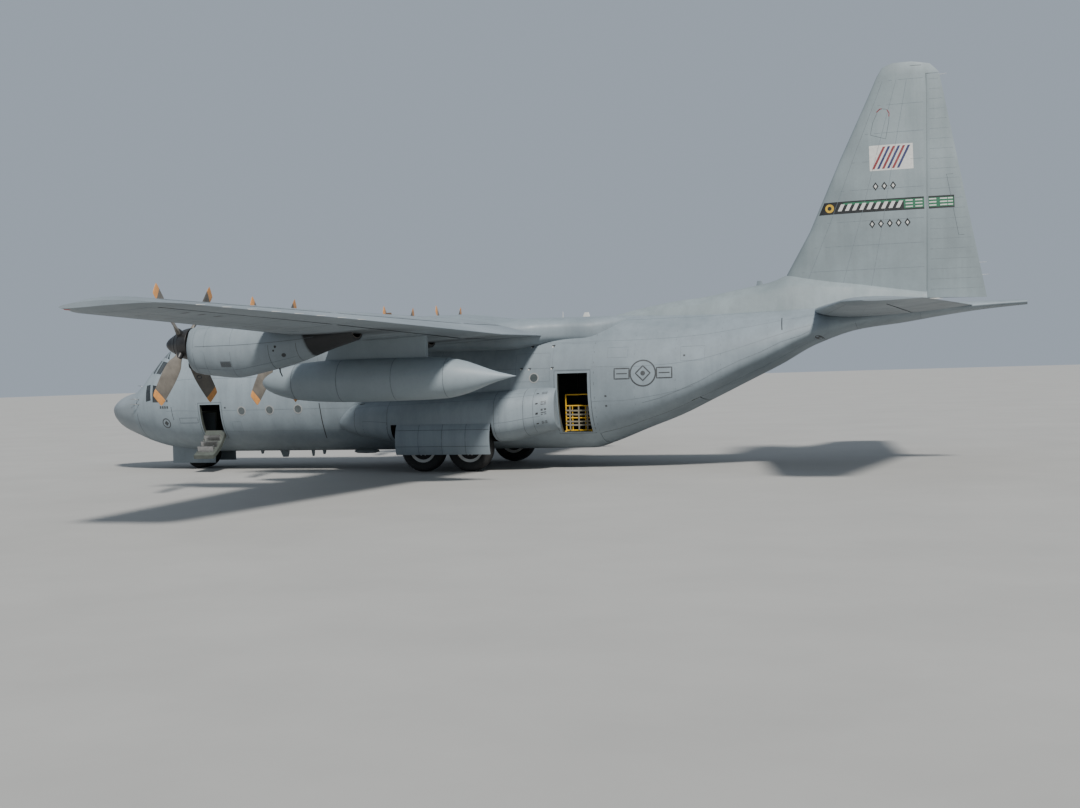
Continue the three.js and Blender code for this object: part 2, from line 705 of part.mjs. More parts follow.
const bayOuter = box(BAY.s0, BAY.s1, -BAY.half, BAY.half, 0, BAY.roof - GAP);
const bayInner = box(
  BAY.s0 + BAY.skin,
  BAY.s1 - BAY.skin,
  -BAY.half + BAY.skin,
  BAY.half - BAY.skin,
  -PAST,
  BAY.roof - GAP - BAY.skin,
);
const bayCutter = box(BAY.s0 - GAP, BAY.s1 + GAP, -BAY.half - GAP, BAY.half + GAP, 0, BAY.roof);
const NOSE_DOOR = { inset: 60, bottom: 200, top: 900 };
const noseDoors = [1, -1].map((side) =>
  mirrorY(
    box(
      BAY.s0 + NOSE_DOOR.inset,
      BAY.s1 - NOSE_DOOR.inset,
      BAY.half - BAY.skin,
      BAY.half,
      NOSE_DOOR.bottom,
      NOSE_DOOR.top,
    ),
    side,
  ),
);
const noseBay = bayOuter
  .subtract(bayInner)
  .intersect(barrel(RADOME_END, NOSE_END))
  .add(union(noseDoors));
addNode("nose_gear_bay", noseBay, GREY, "paint");

let fuselageNose = barrel(RADOME_END + GAP, NOSE_END)
  .subtract(barrel(RADOME_END + FIREWALL, NOSE_END + PAST, WALL))
  .subtract(doorBox(CREW_DOOR, 1))
  .subtract(bayCutter)
  .subtract(wallCutter(MIDDLE_WINDOW));
for (const outline of SIDE_WINDOWS) {
  const window = wallCutter(outline);
  fuselageNose = fuselageNose.subtract(window).subtract(mirrorY(window, -1));
}
addNode("fuselage_nose", fuselageNose, GREY, "paint");
addNode("nose_radome", barrel(0, RADOME_END), GREY, "paint");

// Floors and flight deck
const noseCavity = barrel(RADOME_END + FIREWALL, NOSE_END + PAST, WALL + GAP);
const FLOOR = { s0: 4580, s1: CENTER_END - 30, half: 1900, thickness: 130 };
const FREIGHT_DECK = { s0: 6300, s1: 16500, half: 1350, rise: 12 };
const floorSlab = box(FLOOR.s0, FLOOR.s1, -FLOOR.half, FLOOR.half, FLOOR_TOP - FLOOR.thickness, FLOOR_TOP);
const freightDeck = box(
  FREIGHT_DECK.s0,
  FREIGHT_DECK.s1,
  -FREIGHT_DECK.half,
  FREIGHT_DECK.half,
  FLOOR_TOP - FREIGHT_DECK.rise,
  FLOOR_TOP + FREIGHT_DECK.rise,
);
const cargoFloor = barrel(FLOOR.s0, FLOOR.s1, WALL + GAP)
  .intersect(floorSlab.add(freightDeck))
  .subtract(linerBox(1, GAP))
  .subtract(linerBox(-1, GAP));
addNode("cargo_floor", cargoFloor, DARK_GREY, "paint");

const DECK_TOP = 1980;
const DECK_END = 4560;
const BULKHEAD = { half: 900, thickness: 60, foot: 80 };
const SEAT = { y: 560, half: 230, s0: 3150, s1: 3600, top: 420, backTop: 1150, backDepth: 140 };
const PANEL = { s0: 2450, s1: 2700, half: 900, top: 780 };
const PEDESTAL = { s1: 3050, half: 160, top: 600 };
const SUNK = 10; // how deep the furniture goes into the deck
const onDeck = (s0, s1, y, half, top) =>
  box(s0, s1, y - half, y + half, DECK_TOP - SUNK, DECK_TOP + top);
const seat = (y) =>
  onDeck(SEAT.s0, SEAT.s1, y, SEAT.half, SEAT.top).add(
    onDeck(SEAT.s1 - 40, SEAT.s1 - 40 + SEAT.backDepth, y, SEAT.half, SEAT.backTop),
  );
const bulkheadFront = DECK_END - BULKHEAD.thickness;
const deckFoot = box(
  bulkheadFront,
  DECK_END + BULKHEAD.foot,
  -BULKHEAD.half,
  BULKHEAD.half,
  FLOOR_TOP + GAP,
  FLOOR_TOP + BULKHEAD.thickness,
);
const flightDeck = union([
  noseCavity.intersect(box(RADOME_END, DECK_END, -FAR, FAR, BAY.roof, DECK_TOP)),
  box(bulkheadFront, DECK_END, -BULKHEAD.half, BULKHEAD.half, FLOOR_TOP + GAP, DECK_TOP),
  deckFoot,
  seat(SEAT.y),
  seat(-SEAT.y),
  onDeck(PANEL.s0, PANEL.s1, 0, PANEL.half, PANEL.top),
  onDeck(PANEL.s1 - SUNK, PEDESTAL.s1, 0, PEDESTAL.half, PEDESTAL.top),
]);
addNode("flight_deck", flightDeck, DARK_GREY, "paint");

const GLAZING_THICKNESS = 14;
const GLAZING = { s0: RADOME_END + FIREWALL, s1: 3400, z0: DECK_TOP + 60 };
const glazing = noseCavity
  .subtract(barrel(RADOME_END, NOSE_END + FAR, WALL + GAP + GLAZING_THICKNESS))
  .intersect(box(GLAZING.s0, GLAZING.s1, -FAR, FAR, GLAZING.z0, GLAZING.z0 + FAR));
addNode("flight_deck_glazing", glazing, GLASS, "glass");

// Crew door, made closed and swung down to rest
const crewPivot = new THREE.Group();
crewPivot.position.set(0, CREW_HINGE.y, CREW_HINGE.z);
crewPivot.rotation.x = -THREE.MathUtils.degToRad(CREW_OPEN_DEGREES);
aircraft.add(crewPivot);
const crewRod = [CREW_DOOR.s0 + PIN_GAP, CREW_DOOR.s1 - PIN_GAP].map((s) => [
  station(s),
  CREW_HINGE.y,
  CREW_HINGE.z,
]);
const CREW_ROD = 13;
const TREADS = [1420, 1680, 1940];
const TREAD = { inset: 90, out: 40, inward: 190, thickness: 30 };
const crewPanel = box(
  CREW_DOOR.s0 + CLEAR,
  CREW_DOOR.s1 - CLEAR,
  DOORWAY.inner,
  DOORWAY.outer,
  CREW_DOOR.z0 + CREW_ROD + 11,
  CREW_DOOR.z1 - CLEAR,
);
const tread = (z) => {
  const inner = lowerHalfWidth(CREW_DOOR.s0, z, WALL);
  return box(
    CREW_DOOR.s0 + TREAD.inset,
    CREW_DOOR.s1 - TREAD.inset,
    inner - TREAD.inward,
    inner + TREAD.out,
    z,
    z + TREAD.thickness,
  );
};
const crewDoor = union([
  shell(CREW_DOOR.s0 - PAST, CREW_DOOR.s1 + PAST).intersect(crewPanel),
  bar(...crewRod, CREW_ROD),
  ...TREADS.map(tread),
]).translate([0, -CREW_HINGE.y, -CREW_HINGE.z]);
addNode("crew_door", crewDoor, GREY, "paint", crewPivot);

// Paratroop doors: port raised inside, starboard closed
const RAISED_DOOR = { thickness: 90, inner: 400, z0: 3000, z1: 4320, margin: 50 };
const raisedStart = PARATROOP_DOOR.s0 - RAISED_DOOR.margin;
const raisedEnd = PARATROOP_DOOR.s1 + RAISED_DOOR.margin;
const raisedDoor = barrel(raisedStart, raisedEnd, WALL + GAP)
  .subtract(barrel(raisedStart - PAST, raisedEnd + PAST, WALL + RAISED_DOOR.thickness))
  .intersect(box(raisedStart, raisedEnd, RAISED_DOOR.inner, FAR, RAISED_DOOR.z0, RAISED_DOOR.z1));
addNode("paratroop_door_left", raisedDoor, GREY, "paint");
const closedDoor = shell(raisedStart, raisedEnd).intersect(doorBox(PARATROOP_DOOR, -1, GAP));
addNode("paratroop_door_right", closedDoor, GREY, "paint");

// Yellow guard in the port doorway
const GUARD = { s0: 16850, s1: 17650, y: 1480, foot: 1160, middle: 1530, rail: 1895, top: 2240 };
const GUARD_TUBE = { post: 22, rail: 20, bar: 14, bars: 3, sides: 6 };
const guardTube = (from, to, radius) =>
  bar([station(from[0]), GUARD.y, from[1]], [station(to[0]), GUARD.y, to[1]], radius, GUARD_TUBE.sides);
const guardPost = (s) => guardTube([s, FLOOR_TOP + GAP], [s, GUARD.top], GUARD_TUBE.post);
const guardRail = (z) => guardTube([GUARD.s0, z], [GUARD.s1, z], GUARD_TUBE.rail);
const guard = union([
  guardPost(GUARD.s0),
  guardPost(GUARD.s1),
  ...[GUARD.foot, GUARD.middle, GUARD.rail, GUARD.top - 10].map(guardRail),
  ...Array.from({ length: GUARD_TUBE.bars }, (_, i) => {
    const s = lerp(GUARD.s0, GUARD.s1, (i + 1) / (GUARD_TUBE.bars + 1));
    return guardTube([s, GUARD.foot], [s, GUARD.rail], GUARD_TUBE.bar);
  }),
]);
addNode("doorway_guard", guard, YELLOW, "paint");

// Engines: nacelle sections by station, half width, then top, bottom and widest from the hub
const NACELLE = [
  [9170, 400, 420, -700, -100],
  [9320, 500, 455, -785, -120],
  [9700, 560, 480, -850, -130],
  [10500, 600, 490, -925, -130],
  [11300, 600, 480, -800, -110],
  [12300, 540, 450, -570, -50],
  [13300, 430, 420, -240, 70],
  [13900, 350, 400, -73, 130],
];
const NACELLE_SIDES = 16;
const NACELLE_WALL = 50;
const TAIL_WALL = 30;
const ENGINE = { s0: 9620, s1: 12300, half: 300, top: 40, bottom: -340 };
const FIREWALL_END = 12420;
const HUBS = [
  ["1", 10160, 4000],
  ["2", 4930, 3830],
  ["3", -4930, 3830],
  ["4", -10160, 4000],
];

function nacelleSolid(y, hub, s0, s1, inset) {
  const between = NACELLE.map((row) => row[0]).filter((s) => s > s0 + 1 && s < s1 - 1);
  return loft(
    [s0, ...between, s1].map((s) => {
      const [, half, top, bottom, widest] = rowAt(NACELLE, s);
      return Array.from({ length: NACELLE_SIDES }, (_, j) => {
        const angle = (j * 2 * Math.PI) / NACELLE_SIDES;
        const reach = Math.sin(angle) >= 0 ? top - inset - widest : widest - bottom - inset;
        const across = (half - inset) * Math.cos(angle);
        return [station(s), y + across, hub + widest + reach * Math.sin(angle)];
      });
    }),
  );
}

// Propeller, about its own centre, the blades flat: radius, chord, thickness, degrees from the shaft
const PROPELLER_RADIUS = 2057;
const PROPELLER_STATION = 8900;
const BLADE = [
  [250, 180, 170, 40],
  [480, 200, 150, 45],
  [800, 400, 80, 58],
  [1300, 480, 50, 70],
  [PROPELLER_RADIUS, 400, 26, 80],
];
const BLADE_ANGLES = [45, 135, 225, 315];
const SPINNER = [
  [-550, 0],
  [-530, 80],
  [-400, 190],
  [-130, 340],
  [120, 420],
  [240, 430],
  [240, 110],
];
const SHAFT = { radius: 110, back: ENGINE.s0 - PROPELLER_STATION - GAP };

function turnedAlongX(profile, sides) {
  const outline = profile.map(([x, r]) => new THREE.Vector2(r, -x));
  const geometry = new THREE.LatheGeometry(outline, sides);
  geometry.rotateZ(-Math.PI / 2);
  return facingOut(geometry);
}

function facingOut(geometry) {
  const solid = solidOf(geometry);
  if (solid.volume() > 0) return solid;
  const index = geometry.index.array;
  for (let i = 0; i < index.length; i += 3) {
    const second = index[i + 1];
    index[i + 1] = index[i + 2];
    index[i + 2] = second;
  }
  return solidOf(geometry);
}

// The blade's section: shares of the chord along it and of the thickness across it
const BLADE_SECTION = [
  [-0.5, 0],
  [-0.25, 0.45],
  [0.1, 0.5],
  [0.5, 0.08],
  [0.5, -0.08],
  [0.1, -0.5],
  [-0.25, -0.45],
];

function blade() {
  return loft(
    BLADE.map(([radius, chord, thickness, degrees]) => {
      const angle = THREE.MathUtils.degToRad(degrees);
      return BLADE_SECTION.map(([along, across]) => {
        const [a, b] = [along * chord, across * thickness];
        const forward = b * Math.sin(angle) - a * Math.cos(angle);
        return [forward, a * Math.sin(angle) + b * Math.cos(angle), radius];
      });
    }),
  );
}

const SPINNER_SIDES = 12;
const shaftEnd = [[SHAFT.back, SHAFT.radius], [SHAFT.back, 0]];
const spinner = turnedAlongX([...SPINNER, ...shaftEnd], SPINNER_SIDES);
const oneBlade = blade();
const propeller = BLADE_ANGLES.reduce(
  (whole, degrees) => whole.add(oneBlade.rotate([degrees, 0, 0])),
  spinner,
);

for (const [number, y, hub] of HUBS) {
  const front = NACELLE[0][0];
  const back = NACELLE.at(-1)[0];
  const nacelle = nacelleSolid(y, hub, front, back, 0)
    .subtract(nacelleSolid(y, hub, front - PAST, ENGINE.s1, NACELLE_WALL))
    .subtract(nacelleSolid(y, hub, FIREWALL_END, back + PAST, TAIL_WALL))
    .subtract(wingCutter);
  addNode("nacelle_" + number, nacelle, GREY, "paint");
  const engine = box(
    ENGINE.s0,
    ENGINE.s1 - GAP,
    y - ENGINE.half,
    y + ENGINE.half,
    hub + ENGINE.bottom,
    hub + ENGINE.top,
  );
  addNode("engine_" + number, engine, SILVER, "steel");
  const mesh = addNode("propeller_" + number, propeller, PROPELLER_GREY, "paint");
  mesh.position.set(station(PROPELLER_STATION), y, hub);
}

// Tanks under the wing between the engines: station, radius
const TANK_Y = 7500;
const TANK_Z = 2890;
const TANK_SIDES = 20;
const TANK = [
  [9800, 0],
  [9830, 90],
  [10000, 230],
  [10400, 390],
  [11050, 515],
  [12000, 577],
  [13200, 590],
  [14600, 575],
  [15370, 537],
  [15900, 420],
  [16500, 200],
  [17000, 60],
  [17250, 0],
];
const PYLON = { s0: 11735, s1: 14760, half: 95, top: 4270 };
const pylonOutline = [
  [PYLON.s0 - 150, TANK_Z],
  [PYLON.s0, TANK_Z + 560],
  [PYLON.s0 + 350, PYLON.top],
  [PYLON.s1, PYLON.top],
  [PYLON.s1, TANK_Z],
];
const TANK_MIDDLE = 13000;
const tankProfile = TANK.map(([s, r]) => [s - TANK_MIDDLE, r]);
const tank = turnedAlongX(tankProfile, TANK_SIDES)
  .translate([station(TANK_MIDDLE), TANK_Y, TANK_Z])
  .add(plate(pylonOutline, TANK_Y - PYLON.half, TANK_Y + PYLON.half))
  .subtract(wingCutter);
for (const [sideName, side] of sides) {
  addNode("external_tank_" + sideName, mirrorY(tank, side), GREY, "paint");
}

// Main gear fairings: station, outer edge, top, bottom
const SPONSON = [
  [9650, 2150, 1600, 1400],
  [9850, 2330, 1900, 1230],
  [10100, 2450, 2100, 1130],
  [10500, 2620, 2190, 1040],
  [11300, 2800, 2280, 900],
  [11600, 2840, 2295, 850],
  [12500, 2860, 2340, 850],
  [15000, 2860, 2450, 860],
  [16200, 2780, 2510, 1080],
  [16620, 2650, 2520, 1180],
  [16760, 2500, 2515, 1230],
];
const SPONSON_MIDDLE = 1500;
const SPONSON_INNER = 1100;
const SPONSON_SQUARENESS = 0.72;
const sponsonShape = loft(
  SPONSON.map(([s, outer, top, bottom]) => {
    const [middle, height] = [(top + bottom) / 2, (top - bottom) / 2];
    return Array.from({ length: ROUND_SIDES }, (_, j) => {
      const angle = (j * 2 * Math.PI) / ROUND_SIDES;
      const across = signedPower(Math.cos(angle), SPONSON_SQUARENESS);
      const up = signedPower(Math.sin(angle), SPONSON_SQUARENESS);
      return [station(s), SPONSON_MIDDLE + (outer - SPONSON_MIDDLE) * across, middle + height * up];
    });
  }),
).intersect(box(SPONSON[0][0] - PAST, CENTER_END, SPONSON_INNER, FAR, 0, FAR));
const { skin } = WELL;
const LINER = { outer: 2320, bottom: 500 };
const wellRoom = box(
  WELL.s0 + skin,
  WELL.s1 - skin,
  WELL.inner + skin,
  WELL.outer,
  0,
  WELL.roof - skin,
);
const doorRoom = box(WELL.s0 + skin, WELL.s1 - skin, WELL.outer - PAST, FAR, 0, GEAR_DOOR_TOP);
const liner = box(WELL.s0, WELL.s1, WELL.inner, LINER.outer, LINER.bottom, WELL.roof);
const sponson = sponsonShape
  .subtract(barrel(NOSE_END, REAR_END, -GAP))
  .add(liner)
  .subtract(wellRoom)
  .subtract(doorRoom);
// Gear door: a curved panel that hangs below the fairing, an outline of widths and heights
const GEAR_DOOR = { s0: 11880, s1: 14890 };
const gearDoorOutline = [
  [2820, GEAR_DOOR_TOP - GAP],
  [2850, GEAR_DOOR_TOP - GAP],
  [2955, 1290],
  [3015, 1050],
  [3010, 790],
  [2935, 550],
  [2895, 560],
  [2962, 800],
  [2967, 1040],
  [2912, 1270],
];
const gearDoor = loft(
  [GEAR_DOOR.s0, GEAR_DOOR.s1].map((s) => gearDoorOutline.map(([y, z]) => [station(s), y, z])),
);
const STRUT_Y = 1775;
const AXLE = { radius: 70, end: 2330 };
const strutTop = WELL.roof - skin - GAP;
const STRUT = { radius: 110, below: 90 };
const BEAM = { half: 70, z0: 1480, z1: 1640 };
const legFoot = MAIN_WHEEL.radius - STRUT.below;
const leg = (s) => bar([station(s), STRUT_Y, legFoot], [station(s), STRUT_Y, strutTop], STRUT.radius);
const axle = (s) => {
  const ends = [STRUT_Y, AXLE.end].map((y) => [station(s), y, MAIN_WHEEL.radius]);
  return bar(...ends, AXLE.radius);
};
const mainGear = union([
  ...MAIN_AXLES.map(leg),
  ...MAIN_AXLES.map(axle),
  box(...MAIN_AXLES, STRUT_Y - BEAM.half, STRUT_Y + BEAM.half, BEAM.z0, BEAM.z1),
]);

// Wheels turn about Y; profile rows are shares of the width from the middle plane and of the radius
const WHEEL_PROFILE = [
  [-0.3, 0.3],
  [-0.34, 0.5],
  [-0.46, 0.57],
  [-0.5, 0.78],
  [-0.26, 1],
  [0.26, 1],
  [0.5, 0.78],
  [0.46, 0.57],
  [0.34, 0.5],
  [0.3, 0.3],
];

function wheel({ radius, width }, bore, sides) {
  const profile = WHEEL_PROFILE.map(([across, out]) => [across * width, out * radius]);
  const ends = [
    [profile.at(-1)[0], bore],
    [profile[0][0], bore],
  ];
  const outline = [...profile, ...ends, profile[0]].map(([y, r]) => new THREE.Vector2(r, y));
  return facingOut(new THREE.LatheGeometry(outline, sides));
}
const WHEEL_SIDES = 24;
const boreFor = (pin, sides) => (pin + BEARING_GAP) / Math.cos(Math.PI / sides);
const mainWheel = wheel(MAIN_WHEEL, boreFor(AXLE.radius, WHEEL_SIDES), WHEEL_SIDES);
for (const [sideName, side] of sides) {
  addNode("main_gear_fairing_" + sideName, mirrorY(sponson, side), GREY, "paint");
  addNode("main_gear_door_" + sideName, mirrorY(gearDoor, side), GREY, "paint");
  addNode("main_gear_" + sideName, mirrorY(mainGear, side), SILVER, "steel");
  MAIN_AXLES.forEach((s, i) => {
    const mesh = addNode("main_wheel_" + sideName + "_" + (i + 1), mainWheel, TYRE, "rubber");
    mesh.position.set(station(s), side * MAIN_TRACK_HALF, MAIN_WHEEL.radius);
  });
}

// Nose gear: fixed strut, steered fork and its pair of wheels
const NOSE_STRUT = { radius: 100, bottom: 1020 };
const BRACE = { below: 160, reach: 560, top: 110, radius: 40, sides: 8 };
const FORK = { radius: 75, axle: 45, below: 80, collar: 25, collarBottom: 860, collarTop: 960 };
const gearX = station(NOSE_GEAR_STATION);
const strutHead = BAY.roof - GAP - BAY.skin - GAP;
const noseStrut = bar([gearX, 0, NOSE_STRUT.bottom], [gearX, 0, strutHead], NOSE_STRUT.radius).add(
  bar(
    [gearX, 0, NOSE_STRUT.bottom + BRACE.below],
    [gearX + BRACE.reach, 0, BAY.roof - BRACE.top],
    BRACE.radius,
    BRACE.sides,
  ),
);
addNode("nose_strut", noseStrut, SILVER, "steel");
const forkHole = bar(
  [gearX, -NOSE_STRUT.radius, NOSE_WHEEL.radius],
  [gearX, NOSE_STRUT.radius, NOSE_WHEEL.radius],
  boreFor(FORK.axle, WHEEL_SIDES),
  WHEEL_SIDES,
);
const forkFoot = [gearX, 0, NOSE_WHEEL.radius - FORK.below];
const noseFork = bar(forkFoot, [gearX, 0, NOSE_STRUT.bottom - GAP], FORK.radius)
  .add(
    bar([gearX, 0, FORK.collarBottom], [gearX, 0, FORK.collarTop], FORK.radius + FORK.collar),
  )
  .subtract(forkHole);
addNode("nose_fork", noseFork, SILVER, "steel");
const NOSE_WHEEL_SIDES = 20;
const noseWheel = wheel(NOSE_WHEEL, FORK.axle * 0.8, NOSE_WHEEL_SIDES);
const noseAxleEnd = NOSE_WHEEL.middle + 120;
const noseWheels = noseWheel
  .translate([0, NOSE_WHEEL.middle, 0])
  .add(noseWheel.translate([0, -NOSE_WHEEL.middle, 0]))
  .add(bar([0, -noseAxleEnd, 0], [0, noseAxleEnd, 0], FORK.axle));
const nosePair = addNode("nose_wheels", noseWheels, TYRE, "rubber");
nosePair.position.set(gearX, 0, NOSE_WHEEL.radius);

export default aircraft;
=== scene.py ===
import math
import bmesh
import bpy
import numpy as np
from mathutils import Matrix, Vector


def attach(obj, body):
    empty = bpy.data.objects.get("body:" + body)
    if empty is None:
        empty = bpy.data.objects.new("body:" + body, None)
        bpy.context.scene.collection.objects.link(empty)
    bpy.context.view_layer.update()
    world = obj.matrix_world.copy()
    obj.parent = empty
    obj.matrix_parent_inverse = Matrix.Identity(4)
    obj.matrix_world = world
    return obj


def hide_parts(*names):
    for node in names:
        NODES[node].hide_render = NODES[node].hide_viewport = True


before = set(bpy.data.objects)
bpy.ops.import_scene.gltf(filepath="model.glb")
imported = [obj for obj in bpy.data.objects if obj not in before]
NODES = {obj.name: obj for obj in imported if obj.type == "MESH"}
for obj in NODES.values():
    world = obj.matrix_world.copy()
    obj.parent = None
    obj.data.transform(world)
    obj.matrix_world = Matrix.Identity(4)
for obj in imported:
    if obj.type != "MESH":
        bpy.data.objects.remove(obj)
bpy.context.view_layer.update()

# Shapes are given in millimetres of the full-size aeroplane: (station from the nose, y, z).
MM = 0.0005
LENGTH, HALF_SPAN = 29790, 20205
GAP, CLEAR = 0.6, 14  # between fixed neighbours, and round the moving surfaces
WALL, FLOOR_TOP = 120, 1120
PORT, STARBOARD = 1, -1
SIDES = (("left", PORT), ("right", STARBOARD))


def x_of(station):
    return (LENGTH / 2 - station) * MM


def metres(points):
    p = np.asarray(points, float)
    return np.stack([x_of(p[..., 0]), p[..., 1] * MM, p[..., 2] * MM], -1)


# Materials

def add(tree, kind, inputs=(), **settings):
    made = tree.nodes.new(kind)
    for key, value in settings.items():
        setattr(made, key, value)
    for key, value in dict(inputs).items():
        if isinstance(value, bpy.types.NodeSocket):
            tree.links.new(value, made.inputs[key])
        else:
            made.inputs[key].default_value = value
    return made


def noise(tree, scale, detail=5, roughness=0.55, stretch=None):
    where = add(tree, "ShaderNodeTexCoord").outputs["Object"]
    if stretch:
        where = add(tree, "ShaderNodeMapping", {"Vector": where, "Scale": stretch}).outputs["Vector"]
    return add(tree, "ShaderNodeTexNoise", {
        "Vector": where, "Scale": scale, "Detail": detail, "Roughness": roughness}).outputs["Fac"]


def ramp(tree, value, low, high, out_low=0.0, out_high=1.0):
    return add(tree, "ShaderNodeMapRange", {
        "Value": value, "From Min": low, "From Max": high, "To Min": out_low, "To Max": out_high,
    }, clamp=True).outputs["Result"]


def blend_colors(tree, factor, first, second):
    first, second = (
        one if isinstance(one, bpy.types.NodeSocket) else (*one, 1.0) for one in (first, second))
    return add(tree, "ShaderNodeMix", {0: factor, 6: first, 7: second}, data_type="RGBA").outputs[2]


def combine(tree, operation, first, *more):
    """Folds values with one arithmetic operation."""
    for value in more:
        first = add(tree, "ShaderNodeMath", {0: first, 1: value}, operation=operation).outputs["Value"]
    return first


def axis_of(tree, axis):
    where = add(tree, "ShaderNodeTexCoord").outputs["Object"]
    return add(tree, "ShaderNodeSeparateXYZ", {"Vector": where}).outputs[axis]


def shader(name, metallic=0.0, coat=0.0):
    made = bpy.data.materials.new(name)
    made.use_nodes = True
    bsdf = made.node_tree.nodes["Principled BSDF"]
    bsdf.inputs["Metallic"].default_value = metallic
    bsdf.inputs["Coat Weight"].default_value = coat
    return made, made.node_tree, bsdf


def finish(tree, bsdf, color, rough, height, bump):
    tree.links.new(color, bsdf.inputs["Base Color"])
    tree.links.new(rough, bsdf.inputs["Roughness"])
    relief = add(tree, "ShaderNodeBump", {"Height": height, "Strength": bump, "Distance": 0.002})
    tree.links.new(relief.outputs["Normal"], bsdf.inputs["Normal"])


def tinted(color, factor, more=0.0):
    return tuple(min(1.0, c * factor + more) for c in color)


def grey_paint(name, base, fade=0.16, streak=0.3, grime=0.12, stain_and_shade=None, rough=(0.46, 0.66)):
    """Matt aircraft paint with faded patches, rain streaks down the sides and fine grime."""
    made, tree, bsdf = shader(name)
    patches = ramp(tree, noise(tree, 0.55, 6, 0.6), 0.36, 0.64)
    color = blend_colors(tree, patches, tinted(base, 1 - fade), tinted(base, 1 + fade, 0.01))
    runs = ramp(tree, noise(tree, 1.0, 6, 0.62, (7.0, 7.0, 0.55)), 0.42, 0.72, 0.0, streak)
    color = blend_colors(tree, runs, color, tinted(base, 0.55))
    fine = noise(tree, 22.0, 8, 0.65)
    color = blend_colors(tree, ramp(tree, fine, 0.5, 0.75, 0.0, grime), color, tinted(base, 0.45))
    # An optional function that darkens the colour, for soot and painted shade.
    if stain_and_shade:
        color = stain_and_shade(tree, color)
    finish(tree, bsdf, color, ramp(tree, noise(tree, 3.0, 6), 0.3, 0.7, *rough), fine, 0.12)
    return made


def plain_finish(name, base, vary=0.2, scale=18.0, rough=(0.4, 0.6), metallic=0.0, bump=0.15, coat=0.0):
    """A worn finish whose colour wanders round base."""
    made, tree, bsdf = shader(name, metallic, coat)
    spots = noise(tree, scale, 8, 0.62)
    color = blend_colors(tree, ramp(tree, spots, 0.3, 0.7), tinted(base, 1 - vary), tinted(base, 1 + vary))
    finish(tree, bsdf, color, ramp(tree, noise(tree, scale / 4, 4), 0.3, 0.7, *rough), spots, bump)
    return made


# Near black for exhaust soot, which also serves as painted shade under the wing.
SOOT_AND_SHADE_BLACK = (0.008, 0.008, 0.009)
INNER_HUB, OUTER_HUB = 4930, 10160


def nacelle_soot_and_shade(tree, color):
    """Black heat paint and exhaust soot, with painted shade under the wing, behind a slanted line round the
    tail of each engine cover.
    """
    slant = combine(tree, "MULTIPLY", combine(tree, "SUBTRACT", axis_of(tree, "Z"), 1.95), -0.3)
    ragged = ramp(tree, noise(tree, 6.0, 5), 0.3, 0.7, -0.008, 0.008)
    edge = combine(tree, "ADD", axis_of(tree, "X"), slant, ragged)
    return blend_colors(tree, ramp(tree, edge, x_of(12620), x_of(12690), 0.0, 0.96), color, SOOT_AND_SHADE_BLACK)


def wing_soot_and_shade(tree, color):
    """Exhaust soot trails and painted shade on the lower face of the wing behind the four engines."""
    x, z = axis_of(tree, "X"), axis_of(tree, "Z")
    span = combine(tree, "ABSOLUTE", axis_of(tree, "Y"), 0.0)
    soot_and_shade_trails = []
    for hub in (INNER_HUB, OUTER_HUB):
        away = combine(tree, "ABSOLUTE", combine(tree, "SUBTRACT", span, hub * MM), 0.0)
        ragged = ramp(tree, noise(tree, 2.5, 6, 0.6, (0.4, 1.6, 1.0)), 0.3, 0.7, -0.12, 0.12)
        soot_and_shade_trails.append(ramp(tree, combine(tree, "ADD", away, ragged), 0.2, 0.52, 1.0, 0.0))
    fading = ramp(tree, x, x_of(16700), x_of(12600), 0.35, 1.0)
    begun = ramp(tree, x, x_of(12200), x_of(12700))
    dihedral = combine(tree, "MULTIPLY", ramp(tree, span, 2.795, 10.1, 0.0, 7.305), 0.0234)
    middle = combine(tree, "ADD", combine(tree, "MULTIPLY", x, 0.052), 2.0555)
    under = ramp(tree, combine(tree, "SUBTRACT", z, middle, dihedral), -0.03, 0.0, 1.0, 0.0)
    both = combine(tree, "MAXIMUM", *soot_and_shade_trails)
    mask = combine(tree, "MULTIPLY", both, fading, begun, under, 0.85)
    return blend_colors(tree, mask, color, SOOT_AND_SHADE_BLACK)


BODY_GREY, WING_GREY = (0.218, 0.262, 0.292), (0.21, 0.248, 0.275)
PAINT = grey_paint("grey_paint_body", BODY_GREY)
PAINT_WING = grey_paint("grey_paint_wing", WING_GREY, fade=0.13, streak=0.1)
# Wing paint that is darkened on its lower face behind the engines: exhaust soot and painted shade.
PAINT_WING_SOOT_AND_SHADE = grey_paint("grey_paint_wing_soot_and_shade", WING_GREY, fade=0.13, streak=0.1, stain_and_shade=wing_soot_and_shade)
PAINT_TAIL = grey_paint("grey_paint_tail", (0.225, 0.27, 0.285), streak=0.28)
# Nacelle paint whose aft end is painted black: soot together with painted shade.
PAINT_NACELLE = grey_paint("grey_paint_nacelle", (0.24, 0.285, 0.315), stain_and_shade=nacelle_soot_and_shade)
PAINT_TANK = grey_paint("grey_paint_tank", (0.25, 0.3, 0.33), fade=0.1, streak=0.1)
PAINT_RADOME = grey_paint("radome_paint", (0.225, 0.262, 0.287), fade=0.08, streak=0.12, rough=(0.4, 0.55))
LINE = plain_finish("panel_line_shade", (0.085, 0.1, 0.112), 0.3, 40)
FAINT = plain_finish("panel_line_faint", (0.15, 0.178, 0.198), 0.25, 40)
BLACK = plain_finish("black_marking", (0.02, 0.021, 0.022), 0.3, 30)
MARK = plain_finish("dark_grey_marking", (0.055, 0.06, 0.064), 0.25, 30)
PALE = plain_finish("pale_marking", (0.6, 0.6, 0.57), 0.1, 30)
GREEN = plain_finish("green_marking", (0.03, 0.14, 0.075), 0.2, 30)
DULL_BLUE = plain_finish("dull_blue_marking", (0.04, 0.045, 0.125), 0.2, 30)
